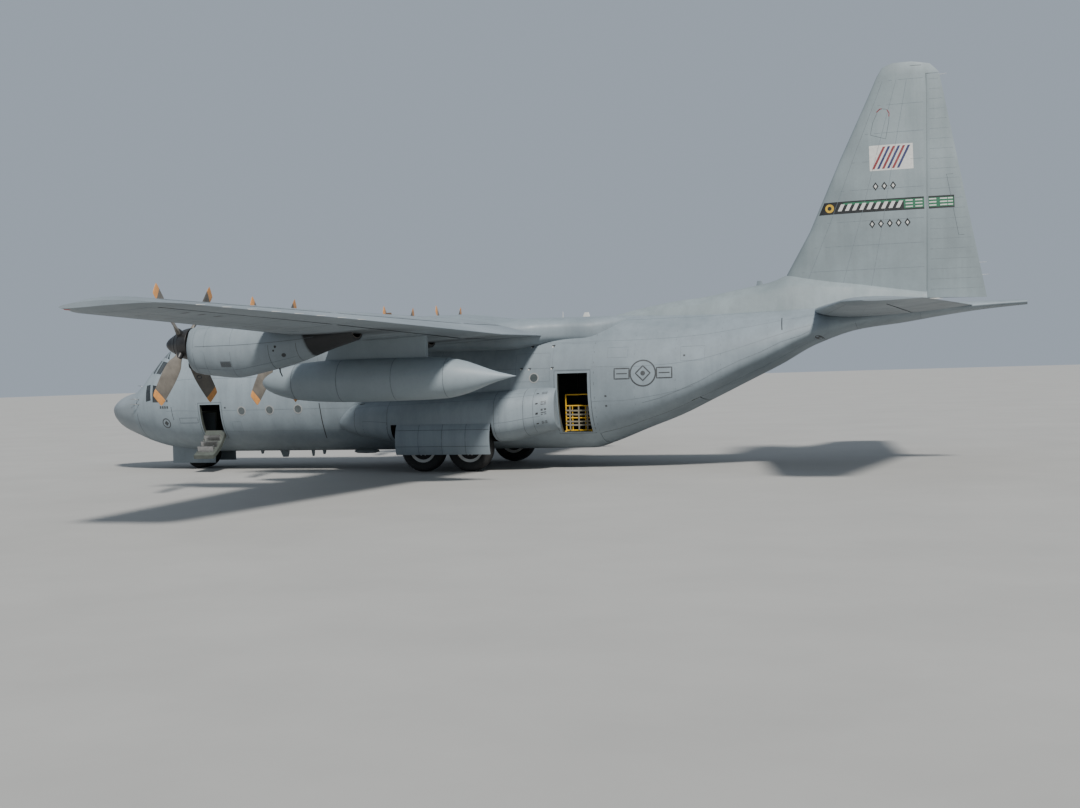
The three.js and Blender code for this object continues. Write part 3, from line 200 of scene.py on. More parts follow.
DULL_RED = plain_finish("dull_red_marking", (0.24, 0.045, 0.05), 0.2, 30)
DULL_YELLOW = plain_finish("dull_yellow_marking", (0.6, 0.38, 0.04), 0.2, 30)
RIM = plain_finish("porthole_rim", (0.3, 0.31, 0.31), 0.15, 30)
INTERIOR = plain_finish("interior_paint", (0.075, 0.085, 0.075), 0.25, 9)
# Near black for the walls inside cut openings such as intakes, exhaust holes and wheel wells: painted shade.
HOLLOW_SHADE = plain_finish("painted_shade_hollow", (0.006, 0.006, 0.007), 0.2, 20, (0.7, 0.9))
LINING = plain_finish("quilted_lining", (0.16, 0.17, 0.15), 0.2, 14, (0.7, 0.9), bump=0.5)
YELLOW = plain_finish("yellow_rail_paint", (0.72, 0.42, 0.02), 0.16, 26)
STRAP = plain_finish("grey_webbing", (0.21, 0.19, 0.14), 0.2, 60, (0.75, 0.9), bump=0.6)
WHITE = plain_finish("white_gear_paint", (0.62, 0.63, 0.61), 0.12, 16)
STEEL = plain_finish("bare_steel", (0.42, 0.42, 0.42), 0.15, 30, (0.25, 0.4), metallic=0.9)
BURNT = plain_finish("burnt_metal", (0.12, 0.1, 0.085), 0.4, 16, (0.4, 0.7), metallic=0.7)
TYRE = plain_finish("tyre_rubber", (0.022, 0.022, 0.022), 0.3, 30, (0.75, 0.92), bump=0.4)
BLADE_PAINT = plain_finish("propeller_blade", (0.155, 0.14, 0.12), 0.25, 7, (0.45, 0.65))
BLADE_TIP = plain_finish("propeller_tip", (0.68, 0.31, 0.1), 0.15, 20)
SPINNER_BLACK = plain_finish("spinner_black", (0.018, 0.018, 0.019), 0.3, 12, (0.3, 0.5))
RED_GLASS = plain_finish("red_lamp", (0.35, 0.02, 0.015), 0.1, 60, (0.1, 0.2), coat=0.8)
GREEN_GLASS = plain_finish("green_lamp", (0.02, 0.25, 0.08), 0.1, 60, (0.1, 0.2), coat=0.8)
CLEAR_GLASS = plain_finish("porthole_glass", (0.075, 0.09, 0.095), 0.3, 12, (0.08, 0.16), coat=0.6)
BROWN = plain_finish("brown_antenna", (0.13, 0.08, 0.05), 0.2, 30)


def glazing_material():
    made, tree, bsdf = shader("cockpit_glass", coat=1.0)
    haze = noise(tree, 5.0, 6)
    color = blend_colors(tree, ramp(tree, haze, 0.35, 0.65), (0.018, 0.024, 0.026), (0.05, 0.058, 0.06))
    tree.links.new(color, bsdf.inputs["Base Color"])
    tree.links.new(ramp(tree, haze, 0.3, 0.7, 0.06, 0.14), bsdf.inputs["Roughness"])
    bsdf.inputs["Alpha"].default_value = 0.72
    return made


GLASS = glazing_material()


# Meshes. A part is (points, faces) or (points, faces, material index).

def smooth(mesh, sharp):
    mesh.polygons.foreach_set("use_smooth", [True] * len(mesh.polygons))
    mesh.set_sharp_from_angle(angle=math.radians(sharp))


def make(name, parts, materials, sharp=34):
    """One object from one part or a list of parts."""
    points, faces, indices = merge_data(parts if isinstance(parts, list) else [parts])
    mesh = bpy.data.meshes.new(name)
    mesh.from_pydata(metres(points).tolist(), [], faces)
    for one in materials if isinstance(materials, list) else [materials]:
        mesh.materials.append(one)
    mesh.polygons.foreach_set("material_index", indices)
    work = bmesh.new()
    work.from_mesh(mesh)
    bmesh.ops.remove_doubles(work, verts=work.verts, dist=2e-6)
    bmesh.ops.recalc_face_normals(work, faces=work.faces)
    work.to_mesh(mesh)
    work.free()
    smooth(mesh, sharp)
    made = bpy.data.objects.new(name, mesh)
    bpy.context.scene.collection.objects.link(made)
    return made


def piece(obj, body="airframe", replaces=()):
    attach(obj, body)
    if replaces:
        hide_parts(replaces)


def merge_data(parts):
    points, faces, indices, base = [], [], [], 0
    for p, f, *index in parts:
        points.append(np.asarray(p, float))
        faces += [tuple(v + base for v in face) for face in f]
        index = index[0] if index else 0
        indices += [index] * len(f) if np.isscalar(index) else list(index)
        base += len(p)
    return np.concatenate(points), faces, indices


def carve(obj, cutters, operation="DIFFERENCE", index=1):
    """Cuts obj with closed cutters; the new faces take the material at index."""
    cutter = make("cutter", cutters, list(obj.data.materials))
    top = len(obj.data.materials) - 1
    cutter.data.polygons.foreach_set("material_index", [min(index, top)] * len(cutter.data.polygons))
    change = obj.modifiers.new("carve", "BOOLEAN")
    change.operation, change.solver, change.object = operation, "EXACT", cutter
    graph = bpy.context.evaluated_depsgraph_get()
    mesh = bpy.data.meshes.new_from_object(obj.evaluated_get(graph), depsgraph=graph)
    obj.modifiers.clear()
    used = obj.data, cutter.data
    obj.data = mesh
    bpy.data.objects.remove(cutter)
    for old in used:
        bpy.data.meshes.remove(old)
    mesh.name = obj.name
    smooth(mesh, 34)


def together(*values):
    return np.broadcast_arrays(*(np.asarray(v, float) for v in values))


def stack(s, y, z):
    return np.stack(together(s, y, z), -1)


def turns(count):
    """Angles of a circle in count steps."""
    return np.arange(count) * 2 * math.pi / count


def loft_data(rings, closed=False):
    """Faces from ring to ring, with a cap at each end unless the last ring meets the first."""
    rings = np.asarray(rings, float)
    n, m = rings.shape[:2]
    faces = [
        (i * m + j, i * m + (j + 1) % m, (i + 1) % n * m + (j + 1) % m, (i + 1) % n * m + j)
        for i in range(n if closed else n - 1) for j in range(m)
    ]
    if not closed:
        faces += [tuple(range(m)), tuple(range((n - 1) * m, n * m))]
    return rings.reshape(-1, 3), faces


def prism_data(outline, ys):
    """A side outline of (station, z) points between two values of y."""
    return loft_data([[(s, y, z) for s, z in outline] for y in ys])


def box_data(s0, s1, y0, y1, z0, z1):
    y0, y1 = sorted((y0, y1))
    return loft_data([[(s, y0, z0), (s, y1, z0), (s, y1, z1), (s, y0, z1)] for s in (s0, s1)])


def unit(vectors):
    return vectors / np.maximum(np.linalg.norm(vectors, axis=-1), 1e-9)[..., None]


def tube_data(points, radius, sides=12, index=0):
    """A round bar along an open line."""
    p = np.asarray(points, float)
    t = unit(np.gradient(p, axis=0))
    a = unit(np.cross(t, [0.0, 0.0, 1.0] if abs(t[0, 2]) < 0.9 else [1.0, 0.0, 0.0]))
    r = np.broadcast_to(np.asarray(radius, float), len(p))[:, None, None]
    return (*loft_data(circles(p, a, np.cross(t, a), r, sides)), index)


def circles(p, a, b, radius, sides):
    w = turns(sides)[None, :, None]
    return p[:, None] + radius * (np.cos(w) * a[:, None] + np.sin(w) * b[:, None])


def ring_tube(points, radius, index=0):
    """A closed hoop of round section, square to the length of the aeroplane."""
    p = np.asarray(points, float)
    t = unit(np.roll(p, -1, 0) - np.roll(p, 1, 0))
    a = unit(np.cross(t, [1.0, 0, 0]))
    return (*loft_data(circles(p, a, np.cross(t, a), radius, 8), closed=True), index)


def lathe_data(profile, centre=(0, 0, 0), axis="s", sides=48, index=0):
    """Turns (along, radius) points round an axis through centre; the line's two ends lie on the axis."""
    along, r = np.array(profile, float).T[:, :, None]
    first, second = (np.maximum(r, 1e-3) * f(turns(sides)) for f in (np.cos, np.sin))
    order = {"s": (along, first, second), "y": (first, along, second), "z": (first, second, along)}
    return (*loft_data(stack(*order[axis]) + np.asarray(centre, float)), index)


def interpolate(table, positions):
    """Rows of a table at positions, on smooth curves that never pass the table's own values."""
    t = np.asarray(table, float)
    x = t[:, 0]
    q = np.clip(np.asarray(positions, float), x[0], x[-1])
    out = np.empty((len(q), t.shape[1]))
    out[:, 0] = positions
    h = np.diff(x)
    k = np.clip(np.searchsorted(x, q, side="right") - 1, 0, len(h) - 1)
    u = (q - x[k]) / h[k]
    for c in range(1, t.shape[1]):
        y = t[:, c]
        d = np.diff(y) / h
        m = np.concatenate([[d[0]], np.zeros(len(x) - 2), [d[-1]]])
        for i in range(1, len(x) - 1):
            if d[i - 1] * d[i] > 0:
                a, b = 2 * h[i] + h[i - 1], h[i] + 2 * h[i - 1]
                m[i] = (a + b) / (a / d[i - 1] + b / d[i])
        out[:, c] = (
            (2 * u**3 - 3 * u**2 + 1) * y[k] + (u**3 - 2 * u**2 + u) * h[k] * m[k]
            + (3 * u**2 - 2 * u**3) * y[k + 1] + (u**3 - u**2) * h[k] * m[k + 1]
        )
    return out


def columns(table, s):
    return [column.reshape(s.shape) for column in interpolate(table, s.ravel()).T[1:]]


def signed_power(value, power):
    return np.sign(value) * np.abs(value) ** power


# Fuselage: station, half width, top, bottom, height of the widest line, squareness of the lower half

FUSELAGE = [
    [0, 20, 2045, 2015, 2030, 2], [25, 120, 2110, 1925, 2030, 2], [90, 260, 2200, 1785, 2030, 2],
    [350, 630, 2370, 1555, 2050, 2], [800, 1135, 2570, 1300, 2080, 2], [1350, 1480, 2705, 1095, 2140, 2.1],
    [1900, 1720, 3105, 885, 2220, 2.1], [2500, 1922, 3900, 735, 2340, 2.2],
    [3200, 2060, 4420, 645, 2460, 2.3], [3900, 2130, 4550, 580, 2540, 2.4],
    [4600, 2160, 4570, 555, 2560, 2.5], [6200, 2160, 4570, 555, 2560, 2.5],
    [17400, 2160, 4570, 560, 2560, 2.5], [17900, 2150, 4580, 700, 2560, 2.5],
    [18900, 2130, 4600, 1088, 2520, 2.8], [20000, 2090, 4600, 1504, 2570, 2.8],
    [20980, 2030, 4600, 1972, 2720, 2.8], [22000, 1930, 4600, 2462, 3060, 2.6],
    [23000, 1780, 4600, 2945, 3460, 2.5], [24000, 1600, 4600, 3488, 3830, 2.4],
    [25300, 1300, 4590, 3900, 4130, 2.2], [26500, 1000, 4580, 4040, 4290, 2.1],
    [27600, 740, 4570, 4200, 4380, 2], [28800, 440, 4560, 4340, 4450, 2],
    [29790, 180, 4550, 4413, 4490, 2],
]


def skin_at(s, radians, inset=0.0):
    """A point of the fuselage skin; angle 0 is port, 90 degrees the top."""
    s, radians = together(s, radians)
    half, top, bottom, widest, power = columns(FUSELAGE, s)
    c, n = np.cos(radians), np.sin(radians)
    y = (half - inset) * np.where(n >= 0, c, signed_power(c, 2 / power))
    reach = np.where(n >= 0, top - inset - widest, widest - bottom - inset)
    return stack(s, y, widest + reach * np.where(n >= 0, n, signed_power(n, 2 / power)))


def skin_by_height(s, z, side=PORT):
    s, z = together(s, z)
    _, top, bottom, widest, power = columns(FUSELAGE, s)
    up = np.clip((z - widest) / (top - widest), 0, 1)
    down = np.clip((widest - z) / (widest - bottom), 0, 1) ** (power / 2)
    return skin_at(s, np.where(z >= widest, np.arcsin(up), -np.arcsin(down))) * [1, side, 1]


def barrel_data(s0, s1, inset=0.0, step=170):
    inside = [s for s in (8, 25, 55, 90, 150, 220, 290) if s0 < s < s1]
    regular = np.arange(max(s0, 350) + step / 2, s1 - step / 2, step) if s1 > 700 else []
    stations = np.array(sorted({s0, s1, *inside, *regular}))
    return loft_data(skin_at(stations[:, None], turns(96), inset))


# Cockpit windows: station and angle of each corner
SIDE_WINDOWS = [
    [[2430, 0], [2660, 0], [2600, 19], [2400, 22]],
    [[2730, -2], [2970, -3], [2960, 13], [2710, 17]],
    [[2530, 36], [2670, 31], [2820, 45], [2680, 51]],
    [[2740, 30], [2990, 25], [3210, 36], [2890, 43]],
    [[2630, 57], [3010, 44.5], [2915, 59], [2790, 61]],
    [[3065, 43], [3200, 39.5], [3010, 56.5], [2955, 58.5]],
    [[2190, 57], [2480, 40], [2635, 52], [2545, 62]],
    [[2045, 76], [2160, 60], [2515, 65], [2430, 76]],
]
MIDDLE_WINDOW = [[2010, 80], [2010, 100], [2420, 100], [2420, 80]]
RADOME_END, NOSE_END, FORWARD_END, CENTER_END, REAR_END = 1800, 6200, 11300, 17900, 25300
# Openings: first and last station, then lowest and highest z
CREW_DOOR = (4620, 5370, FLOOR_TOP, 2190)
PARATROOP_DOOR = (16790, 17710, FLOOR_TOP, 2880)
WHEEL_WELL = (11640, 14960)
CREW_HINGE, CREW_OPEN = (1745, 1152), 108
RAMP_HALF, DOOR_END_HALF = 1510, 1080
SHELL = [PAINT, INTERIOR]


def window_cutter(outline, side=PORT):
    s, degrees = np.array(outline, float).T
    return loft_data([skin_at(s, np.radians(degrees), inset) * [1, side, 1] for inset in (-140, WALL + 90)])


def doorway(door, side, shrink=0.0):
    s0, s1, z0, z1 = door
    return box_data(s0 + shrink, s1 - shrink, side * 700, side * 3000, z0 + shrink, z1 - shrink)


def shell(name, s0, s1, inner0=-50, inner1=50, inset=0.0, wall=WALL, step=170):
    """A length of the fuselage skin, open inside from s0 + inner0 to s1 + inner1."""
    body = make(name, barrel_data(s0, s1, inset, step), SHELL)
    carve(body, barrel_data(s0 + inner0, s1 + inner1, wall, step))
    return body


def slope(s):
    return float(interpolate(FUSELAGE, [s])[0, 3])


HINGE = 20960
RAMP_OUTLINE = [
    [18334, 300], [17914, 810], [17914, 1120], [20720, 2330], [HINGE, slope(HINGE)],
    [21120, slope(HINGE) - 400], [21120, 300],
]
DOOR_OUTLINE = [
    [21160, slope(HINGE) - 400], [20984, slope(HINGE)], [20770, 2330], [22500, slope(22500) + 370],
    [24180, slope(24180) + 330], [24360, 3720], [24360, 300],
]
DOOR_ROOM = [[20660, 0], [20660, 2630], [24374, slope(24374) + 420], [24374, 0]]
RAMP_ROOM = [[17850, 0], [17850, 1520], [HINGE, 2730], [HINGE, 0]]


def door_data(outline, grow):
    def half(s):
        return RAMP_HALF + (DOOR_END_HALF - RAMP_HALF) * (s - HINGE) / 3340 + grow
    return loft_data([[(s, side * half(s), z) for s, z in outline] for side in (-1, 1)])


def build_fuselage():
    piece(make("radome_skin", barrel_data(0, RADOME_END), PAINT_RADOME), replaces="nose_radome")

    windows = [window_cutter(MIDDLE_WINDOW)]
    windows += [window_cutter(outline, side) for outline in SIDE_WINDOWS for _, side in SIDES]
    nose = shell("nose_skin", RADOME_END + GAP, NOSE_END, inner0=150)
    carve(nose, [doorway(CREW_DOOR, PORT), box_data(2650, 4420, -720, 720, 0, 1900)])
    carve(nose, windows, index=0)
    piece(nose, replaces="fuselage_nose")
    panes = make("windscreen_panes", barrel_data(1900, 3420, 22, step=90), GLASS)
    carve(panes, barrel_data(1850, 3470, 36, step=90), index=0)
    carve(panes, windows, "INTERSECT", index=0)
    piece(panes, replaces="flight_deck_glazing")

    piece(shell("forward_skin", NOSE_END + GAP, FORWARD_END), replaces="fuselage_forward")
    center = shell("center_skin", FORWARD_END + GAP, CENTER_END - GAP)
    wells = [box_data(*WHEEL_WELL, side * 1580, side * 2400, 0, 1960) for _, side in SIDES]
    carve(center, [doorway(PARATROOP_DOOR, PORT), *wells])
    piece(center, replaces="fuselage_center")

    rear = shell("rear_skin", CENTER_END, REAR_END, inner1=-150)
    carve(rear, prism_data(RAMP_ROOM, (-1524, 1524)))
    carve(rear, door_data(DOOR_ROOM, CLEAR))
    piece(rear, replaces="fuselage_rear")
    piece(make("tail_cone_skin", barrel_data(REAR_END + GAP, LENGTH), PAINT), replaces="tail_cone")

    for name, cutter in (
        ("cargo_ramp", prism_data(RAMP_OUTLINE, (-RAMP_HALF, RAMP_HALF))),
        ("cargo_door", door_data(DOOR_OUTLINE, 0)),
    ):
        panel = make(name + "_panel", barrel_data(CENTER_END, REAR_END), SHELL)
        carve(panel, cutter, "INTERSECT")
        piece(panel, name, replaces=name)


def build_doors():
    crew = shell("crew_door_panel", 4570, 5420, step=80)
    carve(crew, box_data(4634, 5356, 700, 3000, FLOOR_TOP + 24, 2176), "INTERSECT")
    treads = []
    for z in (1420, 1680, 1940):
        edge = float(skin_by_height(4620, z)[1]) - WALL
        treads.append(box_data(4710, 5280, edge - 190, edge + 40, z, z + 30))
        for s in (4740, 5230):
            treads.append(box_data(s, s + 20, edge - 180, edge + 40, z - 120, z + 2))
    steps = make("crew_door_steps", treads, STEEL)
    y, z = (value * MM for value in CREW_HINGE)
    turn = Matrix.Rotation(-math.radians(CREW_OPEN), 4, "X")
    turn = Matrix.Translation((0, y, z)) @ turn @ Matrix.Translation((0, -y, -z))
    for one in (crew, steps):
        one.data.transform(turn)
    piece(crew, "crew_door", replaces="crew_door")
    piece(steps, "crew_door")

    raised = shell("port_paratroop_door", 16740, 17760, inset=WALL + GAP, wall=WALL + 90, step=120)
    carve(raised, box_data(16740, 17760, 400, 4000, 3000, 4320), "INTERSECT")
    piece(raised, replaces="paratroop_door_left")
    closed = shell("starboard_paratroop_door", 16740, 17760, step=120)
    carve(closed, doorway(PARATROOP_DOOR, STARBOARD, GAP), "INTERSECT")
    piece(closed, replaces="paratroop_door_right")


build_fuselage()
build_doors()


# Wings and tail: position, leading edge station, chord, height, thickness, camber, incidence

KINK, TIP_START, TIP_SHRINK = 5590, 19750, 0.86
ROOT_CHORD, TIP_CHORD, CAMBER = 4880, 2480, 0.02


def wing_row(span, chord, thickness, incidence):
    height = 4230 + max(0, span - KINK) * math.tan(math.radians(1.34))
    return [span, 12620 - chord / 4, chord, height, thickness, CAMBER, math.radians(incidence)]


def chord_at(span):
    return ROOT_CHORD + (TIP_CHORD - ROOT_CHORD) * (span - KINK) / (HALF_SPAN - KINK)


WING = np.array([
    wing_row(0, ROOT_CHORD, 0.17, 3), wing_row(KINK, ROOT_CHORD, 0.17, 3),
    wing_row(TIP_START, chord_at(TIP_START), 0.12, 0.3),
    wing_row(HALF_SPAN, chord_at(TIP_START) * TIP_SHRINK, 0.05, 0),
])
TAILPLANE = np.array([
    [0, 23966, 4473, 4450, 0.11, 0, 0], [7650, 25499, 1953, 4450, 0.1, 0, 0],
    [8025, 26000, 1350, 4450, 0.04, 0, 0],
], float)
FIN = np.array([
    [4500, 22990, 5780, 0, 0.11, 0, 0], [5571, 23301, 5364, 0, 0.11, 0, 0],
    [6797, 24005, 4515, 0, 0.11, 0, 0], [8839, 24929, 3301, 0, 0.11, 0, 0],
    [10599, 25776, 2154, 0, 0.11, 0, 0], [11150, 26030, 1690, 0, 0.11, 0, 0],
    [11400, 26190, 1300, 0, 0.09, 0, 0], [11505, 26450, 550, 0, 0.05, 0, 0],
], float)
CHORD_STEPS = (1 - np.cos(np.linspace(0, math.pi, 25))) / 2


def row_at(table, position):
    return np.array([np.interp(position, table[:, 0], column) for column in table.T])


def half_thickness(x):
    return 5 * (0.2969 * np.sqrt(x) - 0.126 * x - 0.3516 * x**2 + 0.2843 * x**3 - 0.1015 * x**4)


def across_span(side):
    """Places points along and over the chord of a wing or tailplane row."""
    def place(row, u, v):
        u, v = together(u, v)
        pivot, c, n = row[2] / 4, np.cos(row[6]), np.sin(row[6])
        back, up = (u - pivot) * c - v * n, v * c - (u - pivot) * n
        return stack(row[1] + pivot + back, side * row[0], row[3] + up)
    return place


def up_span(row, u, v):
    return stack(row[1] + u, v, row[0])


def surface_v(row, x, face):
    """Height over the chord line of the upper (face 1) or lower (face -1) side."""
    return row[2] * (row[5] * 4 * x * (1 - x) + face * row[4] * half_thickness(x))


def section(row, place):
    upper, lower = CHORD_STEPS[::-1], CHORD_STEPS[1:]
    v = np.concatenate([surface_v(row, upper, 1), surface_v(row, lower, -1)])
    return place(row, np.concatenate([upper, lower]) * row[2], v)


def lifting_data(table, place, start, end, step=1200):
    inside = [p for p in table[:, 0] if start + 1 < p < end - 1]
    spans = sorted({start, end, *inside, *np.arange(start + step, end - 1, step)})
    return loft_data([section(row_at(table, p), place) for p in spans])


def full_span_data(table, spans):
    return loft_data([section(row_at(table, abs(p)), across_span(np.sign(p))) for p in spans])


def hinge_of(row, station):
    """A hinge's place on the chord, its share of the chord, its height and the nose radius round it."""
    x = (station - row[1]) / row[2]
    return station - row[1], x, surface_v(row, x, 0), row[2] * row[4] * half_thickness(x) * 0.97


def arc_points(hinge, radius, start, end):
    a = np.radians(np.linspace(start, end, 15))
    return [(hinge[0] + radius * math.cos(w), hinge[2] + radius * math.sin(w)) for w in a]


def surface_outline(row, station):
    hinge = hinge_of(row, station)
    steps = hinge[1] + (1 - hinge[1]) * np.array([0.12, 0.3, 0.5, 0.7, 0.85, 1.0])
    lower = [(x * row[2], surface_v(row, x, -1)) for x in steps]
    upper = [(x * row[2], surface_v(row, x, 1)) for x in steps[::-1]]
    return arc_points(hinge, hinge[3], 90, 270) + lower + upper


def cove_outline(row, station, up, down):
    hinge = hinge_of(row, station)
    ring = arc_points(hinge, hinge[3] + CLEAR, 90 + up, 270 - down)
    for point, degrees in ((ring[-1], -down), (ring[0], up)):
        a = math.radians(degrees)
        ring.append((point[0] + row[2] * math.cos(a), point[1] + row[2] * math.sin(a)))
    return ring


def hinged(table, place, span, hinge_at, up, down):
    """The moving surface and the cutter that makes its room, ends squared to the hinge line."""
    ends = [(row_at(table, p), hinge_at(p)) for p in span]
    hinges = [place(row, *hinge_of(row, s)[0:3:2]) for row, s in ends]
    along = unit(hinges[1] - hinges[0])

    def squared(outline, trim):
        first, second = (np.array([place(row, u, v) for u, v in outline(row, s)]) for row, s in ends)
        ruling = second - first
        rings = []
        for hinge, shift in zip(hinges, (trim, -trim)):
            t = (along @ hinge + shift - first @ along) / (ruling @ along)
            rings.append(first + ruling * t[:, None])
        return loft_data(rings)
    return squared(surface_outline, CLEAR), squared(lambda row, s: cove_outline(row, s, up, down), 0)


def wing_hinge(span):
    row = row_at(WING, span)
    return row[1] + 0.76 * row[2]


def rudder_hinge(height):
    return 27088 + 0.028 * height


def elevator_hinge(span):
    return 26860 - 0.045 * span


# Names of piece and node, span, degrees up and down
WING_PANELS = (
    ("inboard_flap_", "flap_inboard_", (2350, 5450), 0, 36),
    ("outboard_flap_", "flap_outboard_", (5720, 12650), 0, 36),
    ("aileron_panel_", "aileron_", (12900, 19600), 25, 15),
)
RUDDER, ELEVATOR = (4700, 11120), (1050, 7300)
# Station, half width, top, bottom
ROOT_FAIRING = [
    [10700, 1500, 4600, 4130], [11150, 1950, 4700, 3780], [12000, 2230, 4820, 3580],
    [13500, 2250, 4820, 3530], [14300, 2250, 4710, 3530], [15200, 2240, 4610, 3530],
    [15900, 2110, 4602, 3610], [16500, 1800, 4596, 3690], [17000, 1660, 4592, 3680],
    [17600, 1600, 4588, 3640], [18250, 1250, 4580, 3800], [18850, 500, 4560, 4150],
]
# Station, ridge height, half width at the foot
DORSAL = [
    [18150, 4610, 480], [18900, 4770, 620], [20000, 4950, 740], [20900, 5040, 790], [21830, 5205, 820],
    [22900, 5400, 820], [23350, 5560, 800], [25000, 5420, 640], [27180, 5000, 380],
]


def oval(s, y, z, half, height, power=1.0, sides=40):
    w = turns(sides)
    return stack(s, y + half * signed_power(np.cos(w), power), z + height * signed_power(np.sin(w), power))


def build_wing():
    covers = []
    for name, side in SIDES:
        place = across_span(side)
        panels = [hinged(WING, place, span, wing_hinge, up, down) for _, _, span, up, down in WING_PANELS]
        covers.append(panels[0][1])
        outer = make("outer_wing_" + name, lifting_data(WING, place, KINK + GAP / 2, HALF_SPAN),
                     [PAINT_WING_SOOT_AND_SHADE, LINE])
        carve(outer, [room for _, room in panels[1:]])
        piece(outer, replaces="wing_outer_" + name)
        for (label, node, *_), (data, _) in zip(WING_PANELS, panels):
            piece(make(label + name, data, PAINT_WING_SOOT_AND_SHADE), node + name, replaces=node + name)
    edge = KINK - GAP / 2
    spans = [edge, 4200, 2800, 1400, 0, -1400, -2800, -4200, -edge]
    center = make("center_wing", full_span_data(WING, spans), [PAINT_WING_SOOT_AND_SHADE, LINE])
    carve(center, covers)
    piece(center, replaces="wing_center")

    s, half, top, bottom = interpolate(ROOT_FAIRING, np.linspace(10700, 18850, 52)).T[:, :, None]
    rings = oval(s, 0, (top + bottom) / 2, half, (top - bottom) / 2, 0.6, 64)
    fairing = make("wing_root_fairing", loft_data(rings), PAINT)
    carve(fairing, barrel_data(9900, 19400, -GAP))
    piece(fairing, replaces="wing_fairing")


def build_tail():
    rudder, rudder_room = hinged(FIN, up_span, RUDDER, rudder_hinge, 35, 35)
    rings, foot = [], 4200
    for s, ridge, half in interpolate(DORSAL, np.linspace(18150, 27180, 40)):
        shoulder = foot + (ridge - foot) * 0.62
        crest = shoulder + (ridge - shoulder) * 0.8
        corner = np.array([(half, foot), (half * 0.78, shoulder), (half * 0.3, crest), (0, ridge)])
        line = np.concatenate([corner, corner[-2::-1] * [-1, 1]])
        fine = [line[0]]
        for k in range(len(line) - 3):
            a, b, c, d = line[k:k + 4]
            for t in np.linspace(0, 1, 6)[1:]:
                fine.append(0.5 * (2 * b + (c - a) * t + (2 * a - 5 * b + 4 * c - d) * t**2
                                   + (3 * b - a - 3 * c + d) * t**3))
        fine.append(line[-1])
        rings.append([(s, y, z) for y, z in fine])
    dorsal = make("dorsal_fairing", loft_data(rings), PAINT_TAIL)
    below = box_data(rudder_hinge(RUDDER[0]) - 40, 30500, -900, 900, 0, RUDDER[0])
    carve(dorsal, barrel_data(17800, LENGTH, -GAP))
    carve(dorsal, below)
    piece(dorsal)
    fin = make("fin_skin", lifting_data(FIN, up_span, 4560, 11505, 900), [PAINT_TAIL, LINE])
    carve(fin, rudder_room)
    carve(fin, below, index=0)
    piece(fin, replaces="fin")
    piece(make("rudder_skin", rudder, PAINT_TAIL), "rudder", replaces="rudder")

    rooms = []
    for name, side in SIDES:
        data, room = hinged(TAILPLANE, across_span(side), ELEVATOR, elevator_hinge, 40, 20)
        rooms.append(room)
        node = "elevator_" + name
        piece(make("elevator_panel_" + name, data, PAINT_WING), node, replaces=node)
    spans = np.unique(np.concatenate([np.linspace(-8025, 8025, 23), [-7650, 7650, 0]]))
    plane = make("tailplane_skin", full_span_data(TAILPLANE, spans), [PAINT_WING, LINE])
    carve(plane, rooms)
    piece(plane, replaces="tailplane")


build_wing()
build_tail()


# Engines, propellers and tanks

# Station, half width, then top, bottom and widest line over the hub
NACELLE = [
    [9170, 400, 420, -700, -100], [9200, 440, 435, -735, -108], [9320, 500, 455, -785, -120],
    [9700, 560, 480, -850, -130], [10500, 600, 490, -925, -130], [11300, 600, 480, -800, -110],
    [12300, 540, 450, -570, -50], [13300, 430, 420, -240, 70], [13900, 350, 400, -73, 130],
]
HUBS = (("1", OUTER_HUB, 4000), ("2", INNER_HUB, 3830), ("3", -INNER_HUB, 3830), ("4", -OUTER_HUB, 4000))
SPINNER = [
    (-550, 0), (-546, 40), (-530, 80), (-470, 140), (-400, 190), (-300, 244), (-200, 298), (-190, 312),
    (-170, 312), (-160, 322), (-60, 366), (-50, 378), (-26, 378), (-16, 384), (60, 406), (120, 420),
    (180, 427), (232, 430), (240, 424), (240, 110), (700, 110), (700, 0),
]
# Radius, chord, thickness, angle to the shaft
BLADE = [
    [250, 180, 170, 40], [480, 200, 150, 45], [800, 400, 80, 58], [1300, 480, 50, 70], [1900, 440, 32, 78],
    [2040, 400, 26, 80], [2057, 340, 16, 80],
]
TIP_PAINT_START = 1839
PROPELLER_STATION = 8900
TANK_Y, TANK_Z = 7500, 2890
TANK = [
    (9800, 0), (9806, 30), (9830, 90), (9900, 160), (10000, 230), (10180, 315), (10400, 390), (10700, 460),
    (11050, 515), (11500, 553), (12000, 577), (12600, 588), (13200, 590), (13900, 585), (14600, 575),
    (15000, 560), (15370, 537), (15630, 490), (15900, 420), (16200, 312), (16500, 200), (16750, 120),
    (17000, 60), (17150, 22), (17250, 0),
]


def nacelle_at(y, hub, s, radians, inset=0.0):
    s, radians = together(s, radians)
    half, top, bottom, widest = columns(NACELLE, s)
    n = np.sin(radians)
    reach = np.where(n >= 0, top - inset - widest, widest - bottom - inset)
    return stack(s, y + (half - inset) * np.cos(radians), hub + widest + reach * n)


def nacelle_data(y, hub, s0, s1, inset):
    stations = np.linspace(s0, s1, int((s1 - s0) / 110))
    return loft_data(nacelle_at(y, hub, stations[:, None], turns(48), inset))


def drum(start, end, radius):
    return [(start, 0), (start, radius), (end, radius), (end, 0)]


